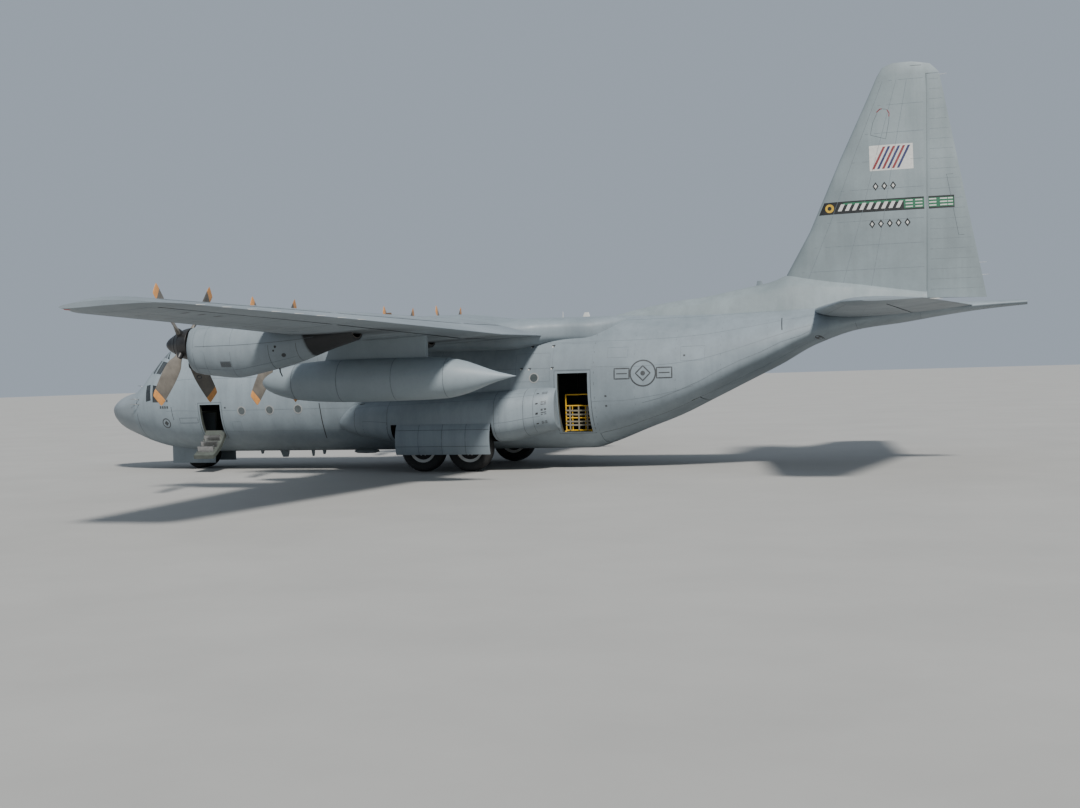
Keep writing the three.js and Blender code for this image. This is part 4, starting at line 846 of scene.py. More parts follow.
def blade_data(turn):
    share = np.linspace(0, 1, 13)
    arch = np.sqrt(np.clip(1 - (2 * share - 1) ** 2, 0, 1)) ** 0.8
    positions = np.unique(np.concatenate([np.linspace(250, 2040, 22), [TIP_PAINT_START + 1, 2057]]))
    rings = []
    for r, chord, thick, angle in interpolate(BLADE, positions):
        b = 0.5 * thick * arch
        b[[0, -1]] = 0.04 * thick
        a = (share - 0.5) * chord
        a, b = np.concatenate([a, a[::-1]]), np.concatenate([b, -b[::-1] * 0.6])
        w = math.radians(angle)
        across = a * math.sin(w) + b * math.cos(w)
        rings.append(stack(
            a * math.cos(w) - b * math.sin(w), across * math.cos(turn) - r * math.sin(turn),
            across * math.sin(turn) + r * math.cos(turn)))
    points, faces = loft_data(rings)
    loop = len(rings[0])
    indices = [2 if positions[k // loop] >= TIP_PAINT_START else 1 for k in range(len(faces) - 2)]
    return points, faces, indices + [1, 2]


def build_engines():
    for number, y, hub in HUBS:
        cowl = make("cowl_" + number, nacelle_data(y, hub, 9170, 13900, 0), [PAINT_NACELLE, HOLLOW_SHADE])
        # The walls cut here inside the intakes, front opening and exhaust take the near-black painted-shade
        # material.
        carve(cowl, [
            nacelle_data(y, hub, 9240, 12300, 50),
            loft_data([oval(s, y, hub, 395, 395) for s in (9000, 9239)]),
            loft_data([oval(s, y, hub - 540, 270, 128, 1 / 1.2) for s in (9000, 9239)]),
            loft_data([oval(13300 + k * 200, y, hub + 130 + k * 10, 250 + k * 12, 130 + k * 8)
                       for k in range(5)]),
        ])
        piece(cowl, replaces="nacelle_" + number)
        lips = [
            ring_tube(oval(9166, y, hub - 540, 274, 132, 1 / 1.2), 16),
            ring_tube(oval(13893, y, hub + 160, 296, 168), 12, 1),
            lathe_data(drum(9190, 9212, 380), (0, y, hub)),
        ]
        piece(make("cowl_lips_" + number, lips, [SPINNER_BLACK, BURNT]))
        NODES["engine_" + number].data.materials[0] = BURNT

        parts = [lathe_data(SPINNER)]
        for turn in np.radians((45, 135, 225, 315)):
            parts.append(blade_data(turn))
            root = [(10, -r * math.sin(turn), r * math.cos(turn)) for r in (330, 400, 470, 540)]
            parts.append(tube_data(root, [105, 100, 88, 60], 20))
        propeller = make("propeller_blades_" + number, parts, [SPINNER_BLACK, BLADE_PAINT, BLADE_TIP], 40)
        propeller.data.transform(Matrix.Translation((-PROPELLER_STATION * MM, y * MM, hub * MM)))
        piece(propeller, "propeller_" + number, "propeller_" + number)


def build_tanks():
    share = np.linspace(0, 1, 15)
    nose = np.sqrt(np.clip(1 - np.clip(1 - share * 5, 0, 1) ** 2, 0, 1))
    half = 95 * nose * np.where(share > 0.8, 1 - (share - 0.8) * 1.4, 1)
    for name, side in SIDES:
        y = side * TANK_Y
        centre = (0, y, TANK_Z)
        rings = []
        for z, start in ((TANK_Z, 11585), (3450, 11735), (3860, 11900), (4270, 12085)):
            s = start + (14760 - start) * share
            rings.append(np.concatenate([stack(s, y + half, z), stack(s, y - half, z)[::-1]]))
        hoops = [lathe_data(drum(s - 9, s + 9, r + 3), centre, sides=64, index=1)
                 for s, r in ((10900, 495), (12300, 583), (13900, 585), (15370, 537))]
        tank = make("tank_and_pylon_" + name, [lathe_data(TANK, centre, sides=64), loft_data(rings), *hoops],
                    [PAINT_TANK, FAINT])
        piece(tank, replaces="external_tank_" + name)


build_engines()
build_tanks()


# Main wheel fairings and landing gear

# Station, outer y, top, bottom
SPONSON = [
    [9650, 2150, 1600, 1400], [9690, 2210, 1700, 1340], [9850, 2330, 1900, 1230], [10100, 2450, 2100, 1130],
    [10500, 2620, 2190, 1040], [11300, 2800, 2280, 900], [11600, 2840, 2295, 850], [12500, 2860, 2340, 850],
    [15000, 2860, 2450, 860], [16200, 2780, 2510, 1080], [16620, 2650, 2520, 1180], [16760, 2500, 2515, 1230],
]
# Section of the wheel door: y and z, the outer face first
GEAR_DOOR = [
    (2820, 1459), (2850, 1459), (2912, 1375), (2955, 1290), (2996, 1170), (3015, 1050), (3018, 920),
    (3010, 790), (2980, 665), (2935, 550), (2895, 560), (2938, 680), (2962, 800), (2972, 920),
    (2967, 1040), (2950, 1158), (2912, 1270), (2868, 1370),
]
MAIN_AXLES, MAIN_RADIUS, MAIN_Y = (12510, 14030), 710, 2175
NOSE_AXLE, NOSE_RADIUS = 3500, 495
# Half sections in shares of half the width and of the radius
TYRE_SHOULDER = [
    (-0.52, 0.62), (-0.6, 0.6), (-0.86, 0.64), (-0.97, 0.74), (-0.98, 0.84), (-0.86, 0.93), (-0.66, 0.975)]
RIM_SIDE = [(-0.62, 0), (-0.62, 0.16), (-0.5, 0.2), (-0.42, 0.42), (-0.6, 0.55), (-0.66, 0.61), (-0.6, 0.625)]


def sponson_at(side, s, radians):
    s, radians = together(s, radians)
    outer, top, bottom = columns(SPONSON, s)
    y = np.maximum(1500 + (outer - 1500) * signed_power(np.cos(radians), 0.72), 1100)
    return stack(s, side * y, (top + bottom) / 2 + (top - bottom) / 2 * signed_power(np.sin(radians), 0.72))


def mirrored(line):
    return line + [(-a, r) for a, r in line[::-1]]


def wheel_parts(radius, width, centre):
    """A tyre with grooves and a dished rim with bolts, turning about y."""
    h = width / 2
    tread = []
    for g in (-0.44, -0.15):
        tread += [(g - 0.05, 1.0), (g - 0.04, 0.972), (g + 0.04, 0.972), (g + 0.05, 1.0)]
    tyre = mirrored([(-0.5, 0)] + TYRE_SHOULDER + tread)
    parts = []
    for k, (line, sides) in enumerate(((tyre, 72), (mirrored(RIM_SIDE), 56))):
        parts.append(lathe_data([(a * h, r * radius) for a, r in line], centre, "y", sides, k))
    for a in turns(10):
        at = np.add(centre, (0.3 * radius * math.cos(a), 0, 0.3 * radius * math.sin(a)))
        for outward in (-h, h):
            parts.append(lathe_data(drum(0.4 * outward, 0.56 * outward, 0.03 * radius), at, "y", 8, 2))
    return parts


def build_gear():
    stations = np.unique(np.concatenate([np.linspace(9650, 16760, 56), [9665, 9690, 16620, 16700]]))
    for name, side in SIDES:
        shape = make("wheel_fairing_" + name, loft_data(sponson_at(side, stations[:, None], turns(64))),
                     [PAINT, HOLLOW_SHADE])
        carve(shape, barrel_data(9000, 17500, -GAP), index=0)
        # The wheel-well walls cut here take the near-black painted-shade material.
        carve(shape, box_data(11680, 14920, side * 1620, side * 2540, 0, 1920))
        carve(shape, box_data(11680, 14920, side * 2480, side * 4000, 0, 1460))
        piece(shape, replaces="main_gear_fairing_" + name)
        door = [[(s, side * y, z) for y, z in GEAR_DOOR] for s in np.linspace(11880, 14890, 7)]
        parts = [loft_data(door)]
        inner = [(side * (y - 46), z) for y, z in GEAR_DOOR[2:9]]
        outer = [(side * (y - 130 + 20 * abs(k - 3)), z) for k, (y, z) in enumerate(GEAR_DOOR[2:9])]
        for s in (11990, 12870, 13750, 14780):
            rib = [[(a, y, z) for y, z in inner + outer[::-1]] for a in (s, s + 40)]
            parts.append((*loft_data(rib), 1))
        piece(make("wheel_door_" + name, parts, [PAINT, WHITE]), replaces="main_gear_door_" + name)
        for i, s in enumerate(MAIN_AXLES, 1):
            node = f"main_wheel_{name}_{i}"
            wheel = make(f"tyre_and_rim_{name}_{i}", wheel_parts(
                MAIN_RADIUS, 480, (s, side * MAIN_Y, MAIN_RADIUS)), [TYRE, WHITE, STEEL], 30)
            piece(wheel, node, node)
    pair = []
    for y in (-260, 260):
        pair += wheel_parts(NOSE_RADIUS, 300, (NOSE_AXLE, y, NOSE_RADIUS))
    pair.append(tube_data([(NOSE_AXLE, y, NOSE_RADIUS) for y in (-380, -200, 0, 200, 380)], 45, 24, 2))
    piece(make("nose_tyres", pair, [TYRE, WHITE, STEEL], 30), "nose_wheels", "nose_wheels")
    for node, material in (
        ("main_gear_left", WHITE), ("main_gear_right", WHITE), ("nose_strut", WHITE), ("nose_fork", WHITE),
        ("nose_gear_bay", PAINT), ("cargo_floor", INTERIOR), ("flight_deck", INTERIOR),
    ):
        NODES[node].data.materials[0] = material


build_gear()


# Thin strips and marks that lie on a surface

(FAINT_LINE, DARK_LINE, BLACK_MARK, GREY_MARK, PALE_MARK,
 GREEN_MARK, BLUE_MARK, RED_MARK, YELLOW_MARK) = range(9)
DETAIL = [FAINT, LINE, BLACK, MARK, PALE, GREEN, DULL_BLUE, DULL_RED, DULL_YELLOW]


class Surface:
    """A skin with two coordinates of its own, whose marks are gathered in parts.

    The skin faces away from the line at inside, which is a (y, z) along the aeroplane."""

    def __init__(self, parts, point, inside=(0.0, 2600.0), reach=(20.0, 20.0)):
        self.parts, self.point, self.inside, self.reach = parts, point, inside, reach

    def frame(self, a, b):
        da, db = self.reach
        along = self.point(a + da, b) - self.point(a - da, b)
        across = self.point(a, b + db) - self.point(a, b - db)
        normal = unit(np.cross(along, across))
        middle = self.point(a, b)
        away = middle[..., 1:] - self.inside
        normal[np.sum(normal[..., 1:] * away, -1) < 0] *= -1
        return middle, normal

    def line(self, path, width, index, lift=1.6, closed=False, step=140, depth=3.0):
        """A flat strip along a path."""
        corners = [np.array(p, float) for p in path]
        fine = []
        for first, second in zip(corners, corners[1:] + corners[:1] * closed):
            ends = self.point(*np.stack([first, second], 1))
            count = max(1, math.ceil(np.linalg.norm(ends[1] - ends[0]) / step))
            fine += [first + (second - first) * k / count for k in range(count)]
        if not closed:
            fine.append(corners[-1])
        middle, normal = self.frame(*np.array(fine).T)
        tangent = np.roll(middle, -1, 0) - np.roll(middle, 1, 0) if closed else np.gradient(middle, axis=0)
        half = unit(np.cross(unit(tangent), normal)) * width / 2
        top, bottom = middle + normal * lift, middle - normal * depth
        rings = np.stack([top + half, top - half, bottom - half, bottom + half], 1)
        self.parts.append((*loft_data(rings, closed), index))

    def loop(self, path, width, index, **more):
        self.line(path, width, index, closed=True, **more)

    def frame_line(self, a, b, width, index, **more):
        """A closed strip round the rectangle from a[0] to a[1] and b[0] to b[1]."""
        self.loop([(a[0], b[0]), (a[1], b[0]), (a[1], b[1]), (a[0], b[1])], width, index, **more)

    def circle(self, a, b, radius, width, index, count=36, **more):
        w = turns(count)
        path = np.stack([a + radius * np.cos(w), b + radius * np.sin(w)], 1)
        self.loop(list(path), width, index, step=60, **more)

    def patch(self, a, b, index, lift=1.4, skew=0.0, lean=(0.0, 0.0), depth=3.0):
        """A filled rectangle; skew slides it along a as b grows, lean its two ends along b as a grows."""
        na, nb = (max(2, int(abs(end[1] - end[0]) / step) + 2) for end, step in ((a, 160), (b, 60)))
        grid_b, grid_a = np.meshgrid(np.linspace(*b, nb), np.linspace(*a, na))
        share = (grid_b - b[0]) / (b[1] - b[0])
        grid_b = grid_b + (grid_a - a[0]) * (lean[0] + (lean[1] - lean[0]) * share)
        grid_a = grid_a + skew * (grid_b - b[0])
        middle, normal = self.frame(grid_a, grid_b)
        points = np.concatenate([(middle + normal * up).reshape(-1, 3) for up in (lift, -depth)])
        total, last = na * nb, na * nb - nb
        faces = []
        for k in range(last):
            if k % nb < nb - 1:
                quad = (k, k + 1, k + nb + 1, k + nb)
                faces += [quad, tuple(v + total for v in quad[::-1])]
        edge = [(k, k + nb) for k in range(0, last, nb)] + [(last + k, last + k + 1) for k in range(nb - 1)]
        edge += [(k + nb, k) for k in range(nb - 1, total - nb, nb)] + [(k + 1, k) for k in range(nb - 1)]
        faces += [(p, q, q + total, p + total) for p, q in edge]
        self.parts.append((points, faces, index))

    def disc(self, a, b, radius_a, radius_b, index, lift=1.4, sides=28, depth=3.0):
        w = turns(sides)
        rings = []
        for share, up in ((0.02, lift), (0.5, lift), (1, lift), (1, -depth), (0.02, -depth)):
            middle, normal = self.frame(a + share * radius_a * np.cos(w), b + share * radius_b * np.sin(w))
            rings.append(middle + normal * up)
        self.parts.append((*loft_data(rings), index))


def side_skins(parts):
    """The port and starboard skin by station and height."""
    return [Surface(parts, lambda s, z, side=side: skin_by_height(s, z, side), reach=(20.0, 12.0))
            for _, side in SIDES]


UPWARD, SIDEWARD = np.array([0.0, 1.0]), np.array([1.0, 0.0])
FAR = 1e6  # behind either face of a wing


def on_lifting(parts, table, place, face, away):
    """Coordinates: position along the table and station; face 1 is the upper or port side.

    The skin faces the way that away points, or the other way where face is -1."""
    def point(span, s):
        span, s = together(span, s)
        row = row_at(table, span)
        x = np.clip((s - row[1]) / row[2], 0.0005, 0.9995)
        return place(row, x * row[2], surface_v(row, x, face))
    return Surface(parts, point, away * -FAR * face, (8.0, 8.0))


def on_ruled(parts, table, place, ends, hinge_at, face, away):
    """The same coordinates on a moving surface, which is straight from end to end."""
    edges = [(row, hinge_at(end)) for row, end in ((row_at(table, end), end) for end in ends)]

    def point(span, s):
        span, s = together(span, s)
        t = (span - ends[0]) / (ends[1] - ends[0])
        nose, tail = ((first + (second - first) * t) for first, second in zip(
            *((start, row[1] + row[2]) for row, start in edges)))
        share = np.clip((s - nose) / (tail - nose), 0.0, 0.999)
        sides = []
        for row, start in edges:
            first = (start - row[1]) / row[2]
            x = first + (1 - first) * share
            sides.append(place(row, x * row[2], surface_v(row, x, face)))
        return sides[0] + (sides[1] - sides[0]) * t[..., None]
    return Surface(parts, point, away * -FAR * face, (8.0, 8.0))


def details(name, parts, body="airframe"):
    piece(make(name, parts, DETAIL, 60), body)


def at_share(table, position, share):
    row = row_at(table, position)
    return position, row[1] + share * row[2]


def wick_data(tail, middle, tip, index=0, root=(-30, 0, 0), thickness=8):
    """A thin tapered rod behind a trailing edge."""
    return tube_data(tail + np.array([root, middle, tip]), [thickness, 6, 3], 6, index)


def build_fuselage_lines():
    parts = []
    skin = Surface(parts, lambda s, d: skin_at(s, np.radians(d)), reach=(20.0, 0.6))
    for s in (4480, 6200, 8250, 9650, 11300, 13100, 16560, 17900, 19100, 20300, 21600, 22900, 24150):
        low = -10 if s == 13100 else -62 if s < 17000 else -45
        skin.line([(s, low), (s, 180 - low)], 12, DARK_LINE if s == CENTER_END else FAINT_LINE, step=110)
    for s, shade in ((25290, DARK_LINE), (27000, FAINT_LINE)):
        skin.line([(s, -170), (s, -10)], 12, shade, step=110)
    skin.loop([(1960, d) for d in range(0, 360, 10)], 16, DARK_LINE, step=110)
    both = [(66, 3300, 24500), (38, 3300, 24900), (14, 3300, 16700), (14, 17800, 24200), (-12, 17800, 20800),
            (-34, 5430, 11600), (-34, 15000, 16700)]
    port_only = [(-12, 3300, 4560), (-12, 5430, 16700)]
    starboard_only = [(192, 3300, 16700), (214, 4500, 5430)]
    for d, s0, s1 in both + [(180 - d, s0, s1) for d, s0, s1 in both] + port_only + starboard_only:
        skin.line([(s0, d), (s1, d)], 10, FAINT_LINE, step=320)
    propeller_band = [(8957, 2166), (8974, 1990), (8984, 1782), (8990, 1560), (8988, 1361), (8976, 1190),
                      (8954, 1028)]
    chine = [(19300, 1960), (19800, 2080), (20390, 2300), (20980, 2545), (21560, 2845), (22140, 3110),
             (22700, 3320), (23270, 3590), (23830, 3760), (24050, 3870)]
    skins = side_skins(parts)
    for skin in skins:
        skin.line(propeller_band, 30, BLACK_MARK, step=60)
        skin.line(chine, 16, FAINT_LINE)
        skin.frame_line((16700, 17800), (1080, 2960), 20, DARK_LINE, lift=2.0)
        for a, b, width, shade in (
            ((16640, 17860), (2990, 3760), 10, FAINT_LINE), ((15500, 16560), (2660, 3500), 9, FAINT_LINE),
            ((3780, 4500), (1600, 1765), 12, DARK_LINE), ((5750, 6080), (1300, 1620), 9, FAINT_LINE),
            ((9950, 10900), (2750, 3300), 9, FAINT_LINE), ((20450, 21150), (3150, 3560), 9, FAINT_LINE),
            ((18300, 18900), (3300, 3600), 9, FAINT_LINE),
        ):
            skin.frame_line(a, b, width, shade)
        skin.disc(24271, 3690, 95, 55, GREY_MARK)
        skin.line([(23271, 4278), (23306, 3928)], 26, BLACK_MARK, step=60)
        skin.line([(3502, 2142), (3542, 1706)], 14, BLACK_MARK, step=60)
        for s, z in ((5560, 2080), (12100, 3060), (18240, 2180), (18240, 1890), (20560, 3300)):
            skin.patch((s - 30, s + 30), (z - 26, z + 26), GREY_MARK)
        for s, z in ((15668, 3048), (15919, 3040), (16620, 3049), (16600, 3705), (15939, 3700)):
            skin.patch((s - 45, s + 45), (z - 30, z + 30), BLACK_MARK, skew=0.5)
            skin.patch((s - 30, s + 14), (z - 40, z - 10), PALE_MARK, lift=2.4)
        skin.circle(3215, 1600, 150, 34, GREY_MARK, 24)
        skin.disc(3215, 1600, 90, 90, GREY_MARK, sides=4)
        for start, z in ((3136, 2347), (3043, 2132)):
            for s in np.arange(start, 3400, 92):
                skin.patch((s, s + 60), (z - 42, z + 42), GREY_MARK)
    skins[0].frame_line((4560, 5430), (1070, 2250), 16, DARK_LINE, lift=2.0)
    details("fuselage_panel_lines", parts)


def build_badges():
    """A plain low-visibility badge: a ring round a diamond between two barred boxes."""
    parts = []
    s, z = 19363, 2822
    for skin in side_skins(parts):
        skin.circle(s, z, 372, 44, GREY_MARK)
        skin.circle(s, z, 215, 40, GREY_MARK, 4, lift=1.8)
        skin.disc(s, z, 70, 70, GREY_MARK, lift=1.8)
        for start, end in ((18520, 18960), (19766, 20206)):
            skin.frame_line((start, end), (z - 150, z + 150), 40, GREY_MARK, step=80)
            skin.line([(start + 60, z), (end - 60, z)], 34, GREY_MARK, step=80)
    details("side_badges", parts)


def build_portholes():
    parts = []
    for skin in side_skins(parts):
        for s, z in ((6159, 1964), (7177, 1977), (8196, 1990), (16076, 2768)):
            skin.circle(s, z, 136, 34, 0, lift=7, depth=10)
            skin.disc(s, z, 122, 122, 1, lift=2.5, depth=6)
    piece(make("portholes", parts, [RIM, CLEAR_GLASS], 40))


def antenna_data(s0, s1, z0, z1, sweep, half=14, index=2):
    """A thin fin with a round nose that stands up or hangs down from z0 to z1."""
    share = np.linspace(0, 1, 9)
    w = half * np.sqrt(np.clip(1 - (2 * share - 1) ** 2, 0.02, 1))
    rings = []
    for z, narrow, shift in ((z0, 1.0, 0), ((z0 + z1) / 2, 0.82, sweep / 2), (z1, 0.55, sweep)):
        s = s0 + shift + (s1 - s0) * narrow * share
        rings.append(np.concatenate([stack(s, w, z), stack(s, -w, z)[::-1]]))
    return (*loft_data(rings), index)


def build_antennas():
    parts = [
        tube_data([(16436, 0, 4500), (16437, 0, 4640), (16441, 0, 4790)], [16, 12, 9]),
        antenna_data(17060, 17300, 4570, 4735, 70, index=0),
        antenna_data(10380, 10700, 4540, 5010, 90, 18, 1),
        antenna_data(22380, 22620, 5200, 5440, 50),
        antenna_data(6430, 6800, 570, 330, 110, 16),
        antenna_data(5700, 5850, 570, 440, 30),
        antenna_data(7600, 7740, 570, 350, 40),
        antenna_data(8010, 8160, 570, 410, 30),
        antenna_data(5900, 6150, 4555, 4760, 60),
        antenna_data(8600, 8800, 4555, 4700, 40),
        lathe_data([(9180, 0), (9195, 30), (9300, 62), (9600, 72), (9900, 66), (10060, 30), (10085, 0)],
                   (0, 0, 500), sides=24, index=2),
        lathe_data([(4540, 0), (4540, 70), (4600, 66), (4640, 40), (4650, 0)], (7700, 0, 0), "z", 24, 3),
    ]
    for y in (-300, 300):
        probe = [(1340, y, 2670), (1318, y, 2780), (1243, y, 2851), (1120, y, 2862)]
        parts.append(tube_data(probe, [18, 16, 12, 8], 10, 4))
    for side in (-1, 1):
        for z in (2250, 2420):
            probe = skin_by_height(2080, z, side) + [(0, 0, 0), (-40, side * 90, 0), (-260, side * 110, 10)]
            parts.append(tube_data(probe, [16, 13, 8], 10, 4))
    piece(make("antennas", parts, [PALE, BROWN, PAINT, RED_GLASS, STEEL], 40))


def build_sponson_lines():
    for name, side in SIDES:
        parts = []
        skin = Surface(parts, lambda s, w: sponson_at(side, s, np.radians(w)), (side * 1500, 1650), (20, 1.5))
        for s in (10350, 11560, 15000, 15900):
            skin.line([(s, w) for w in (-74, -40, 0, 40, 78)], 12, DARK_LINE, step=60)
        skin.line([(10100, 34), (16400, 34)], 10, FAINT_LINE)
        skin.line([(15000, -8), (16400, -8)], 10, FAINT_LINE)
        skin.frame_line((10673, 11540), (-1, -52), 10, DARK_LINE)
        skin.line([(16200, 62), (16200, -56)], 9, DARK_LINE, step=60)
        skin.frame_line((15150, 15900), (46, -30), 9, FAINT_LINE)
        skin.patch((10421, 10623), (49, 54), BLACK_MARK)
        for w in (38.3, 10.5, -3.1, -25):
            skin.patch((16270, 16340), (w - 1.4, w + 1.4), BLACK_MARK, skew=4)
            for drop in (-2.6, 0.4, 3.4):
                skin.patch((16430, 16580), (w + drop - 0.7, w + drop + 0.7), GREY_MARK)
        details("wheel_fairing_lines_" + name, parts)
        lines = []
        for z, y in ((1290, 2955), (800, 3010.1923)):
            lines.append(tube_data([(s, side * (y + 1), z) for s in np.linspace(11890, 14880, 8)], 7, 6))
        for s in (12630, 13390, 14140):
            lines.append(tube_data([(s, side * (y + 1), z) for y, z in GEAR_DOOR[1:10]], 6, 6))
        piece(make("wheel_door_lines_" + name, lines, [LINE], 60))


def build_nacelle_details():
    for number, y, hub in HUBS:
        parts = []
        skin = Surface(parts, lambda s, d: nacelle_at(y, hub, s, np.radians(d)), (y, hub - 150), (15, 1.5))
        for s in (9420, 9780, 10560):
            skin.loop([(s, d) for d in range(0, 360, 9)], 10, FAINT_LINE, step=70)
        for s, start, end in ((11660, -178, -2), (12420, -175, -5)):
            skin.line([(s, d) for d in (*range(start, end, 9), end)], 13, DARK_LINE, step=70)
        for d, end, shade in ((4, 12900, DARK_LINE), (176, 12900, DARK_LINE), (-48, 12400, FAINT_LINE),
                              (-132, 12400, FAINT_LINE), (60, 11200, FAINT_LINE), (120, 11200, FAINT_LINE)):
            skin.line([(9500, d), (end, d)], 11, shade)
        for d, back in ((-34, 1), (-146, -1)):
            for k in range(5):
                louvre = d + k * 2.6 - 5
                skin.line([(10240, louvre), (10540, louvre)], 15, GREY_MARK, lift=6)
            skin.disc(11858, d + back * 26, 34, 3.2, BLACK_MARK)
            skin.disc(11798, d + back * 17, 26, 2.6, BLACK_MARK)
            skin.disc(12050, d, 60, 6, GREY_MARK)
        parts += [
            tube_data([(11693, y, hub - 640), (11700, y, hub - 800), (11760, y, hub - 930)], [22, 18, 14],
                      index=GREY_MARK),
            ring_tube(oval(9300, y, hub - 880, 120, 46), 12, GREY_MARK),
        ]
        details("cowl_details_" + number, parts)


def build_wing_details():
    for name, side in SIDES:
        place = across_span(side)
        parts = []
        for face in (1, -1):
            skin = on_lifting(parts, WING, place, face, UPWARD)
            for share in (0.08, 0.15, 0.45, 0.7):
                shade = DARK_LINE if share == 0.15 and face < 0 else FAINT_LINE
                skin.line([at_share(WING, p, share) for p in (2300, KINK, 19700)], 12, shade, step=700)
            for span in (3400, KINK, 6400, 8700, 10900, 12780, 14800, 16900, 18800, 19720):
                path = [at_share(WING, span, share) for share in (0.02, 0.08, 0.15, 0.3, 0.5, 0.7)]
                skin.line(path, 10, DARK_LINE if span in (KINK, 19720) else FAINT_LINE, step=500)
        for span in np.linspace(6600, 18600, 12):
            skin.disc(*at_share(WING, span, 0.36), 110, 170, FAINT_LINE, sides=24)
        for span in (17000, 17600, 18200):
            ends = [at_share(WING, span, share)[1] for share in (0.6, 0.66)]
            skin.patch((span - 60, span + 60), ends, GREY_MARK)
        details("wing_panel_lines_" + name, parts)
        wicks = []
        for span in np.linspace(13300, 19300, 8):
            row = row_at(WING, span)
            wicks.append(wick_data(place(row, row[2], 0), (70, side * 6, -4), (210, side * 24, -10),
                                   root=(-30, 0, 2), thickness=7))
        piece(make("aileron_wicks_" + name, wicks, [PALE], 60), "aileron_" + name)
        row = row_at(WING, 20060)
        lamp = [(-120, 0), (-110, 30), (-60, 52), (0, 58), (80, 50), (150, 20), (160, 0)]
        glass = RED_GLASS if side > 0 else GREEN_GLASS
        piece(make("tip_lamp_" + name, lathe_data(lamp, place(row, 0.06 * row[2], 0)), [glass], 60))


BAND_LOW, BAND_TOP = 7245, 7600
FIN_END, RUDDER_START = 27195, 27315


def mark_band(fin, rudder):
    """The unit band: black with a yellow ring, green edges, slanted pale bars and rows of dashes."""
    def band(z, s0, s1, shade, lift, lean=0.0):
        if s0 < FIN_END - 40:
            fin.patch(z, (s0, min(s1, FIN_END)), shade, lift=lift, lean=(lean, 0.0))
        if s1 > RUDDER_START + 40:
            rudder.patch(z, (max(s0, RUDDER_START), s1), shade, lift=lift)
    band((BAND_LOW, BAND_TOP), 24290, 28000, BLACK_MARK, 1.6, 0.45)
    band((BAND_LOW + 45, BAND_TOP - 45), 26650, 27980, GREEN_MARK, 2.4)
    fin.patch((BAND_TOP - 105, BAND_TOP - 40), (24980, 26650), GREEN_MARK, lift=2.2)
    for z in (BAND_LOW + 75, BAND_LOW + 165, BAND_LOW + 255):
        for s, length in ((26700, 190), (26960, 190), (27330, 190), (27620, 190), (27830, 130)):
            band((z, z + 34), s, s + length, PALE_MARK, 3.2)
    middle = (BAND_LOW + BAND_TOP) / 2
    fin.disc(middle, 24600, 125, 125, YELLOW_MARK, lift=2.4)
    fin.disc(middle, 24600, 60, 60, BLACK_MARK, lift=3.2)
    for s in np.linspace(24830, 26430, 9):
        fin.patch((BAND_LOW + 80, BAND_TOP - 80), (s, s + 105), PALE_MARK, lift=3.0, lean=(0.5, 0.5))


def mark_panel(fin):
    """A pale panel with slanted red and blue bars, and rows of diamonds below it."""
    z0, z1, s0, s1 = 8420, 9150, 25760, 26950
    fin.patch((z0, z1), (s0, s1), PALE_MARK)
    for k in range(6):
        start = s0 + 60 + k * 135
        fin.patch((z0 + 45, z1 - 45), (start, start + 72), (RED_MARK, BLUE_MARK)[k % 2],
                  lift=2.2, lean=(0.5, 0.5))
    for first, count, z in ((25900, 3, 7970), (25770, 5, 6890)):
        for k in range(count):
            fin.disc(z, first + k * 240, 125, 85, BLACK_MARK, sides=4)
            fin.disc(z, first + k * 240, 60, 40, PALE_MARK, lift=2.2, sides=4)


SCRAPE = [(10124, 26031), (10207, 26129), (10173, 26277), (10027, 26350), (9807, 26326), (9320, 26227),
          (9467, 25809), (9807, 25883)]


def rudder_tail(z):
    return np.interp(z, RUDDER, (28750, 27731))


def build_fin_details():
    fin_parts, rudder_parts = [], []
    for face in (1, -1):
        fin = on_lifting(fin_parts, FIN, up_span, face, SIDEWARD)
        rudder = on_ruled(rudder_parts, FIN, up_span, RUDDER, rudder_hinge, face, SIDEWARD)
        for z in (5600, 6300, 7000, 7900, 8700, 9500, 10300, 11000):
            fin.line([(z, row_at(FIN, z)[1] + 120), (z, rudder_hinge(z) - 110)], 9, FAINT_LINE, step=350)
        for z in np.linspace(4950, 10950, 22):
            rudder.line([(z, rudder_hinge(z) + 60), (z, rudder_tail(z) - 60)], 6, FAINT_LINE, step=350)
        for share in (0.16, 0.42, 0.62):
            path = []
            for z in (5100, 7000, 9000, 11000):
                lead = row_at(FIN, z)[1]
                path.append((z, lead + share * (rudder_hinge(z) - lead)))
            fin.line(path, 9, FAINT_LINE, step=500)
        rudder.line([(6457, 28230), (6457, 28080), (8195, 27820), (8195, 27990)], 10, DARK_LINE, step=400)
        fin.line([(11450, 26960), (11380, 26960), (11370, 27260)], 14, DARK_LINE, step=90)
        mark_band(fin, rudder)
        mark_panel(fin)
        fin.loop(SCRAPE, 10, DARK_LINE)
        fin.line([(10110, 26000), (10195, 26085), (10200, 26150)], 26, RED_MARK, lift=2.2, step=60)
        fin.line([(10160, 26290), (10060, 26345), (9960, 26335)], 24, RED_MARK, lift=2.2, step=60)
    details("fin_markings", fin_parts)
    for z in (5300, 5650, 11060):
        rudder_parts.append(wick_data((rudder_tail(z), 0, z), (60, 0, 0), (190, 0, 10), PALE_MARK))
    details("rudder_markings", rudder_parts, "rudder")


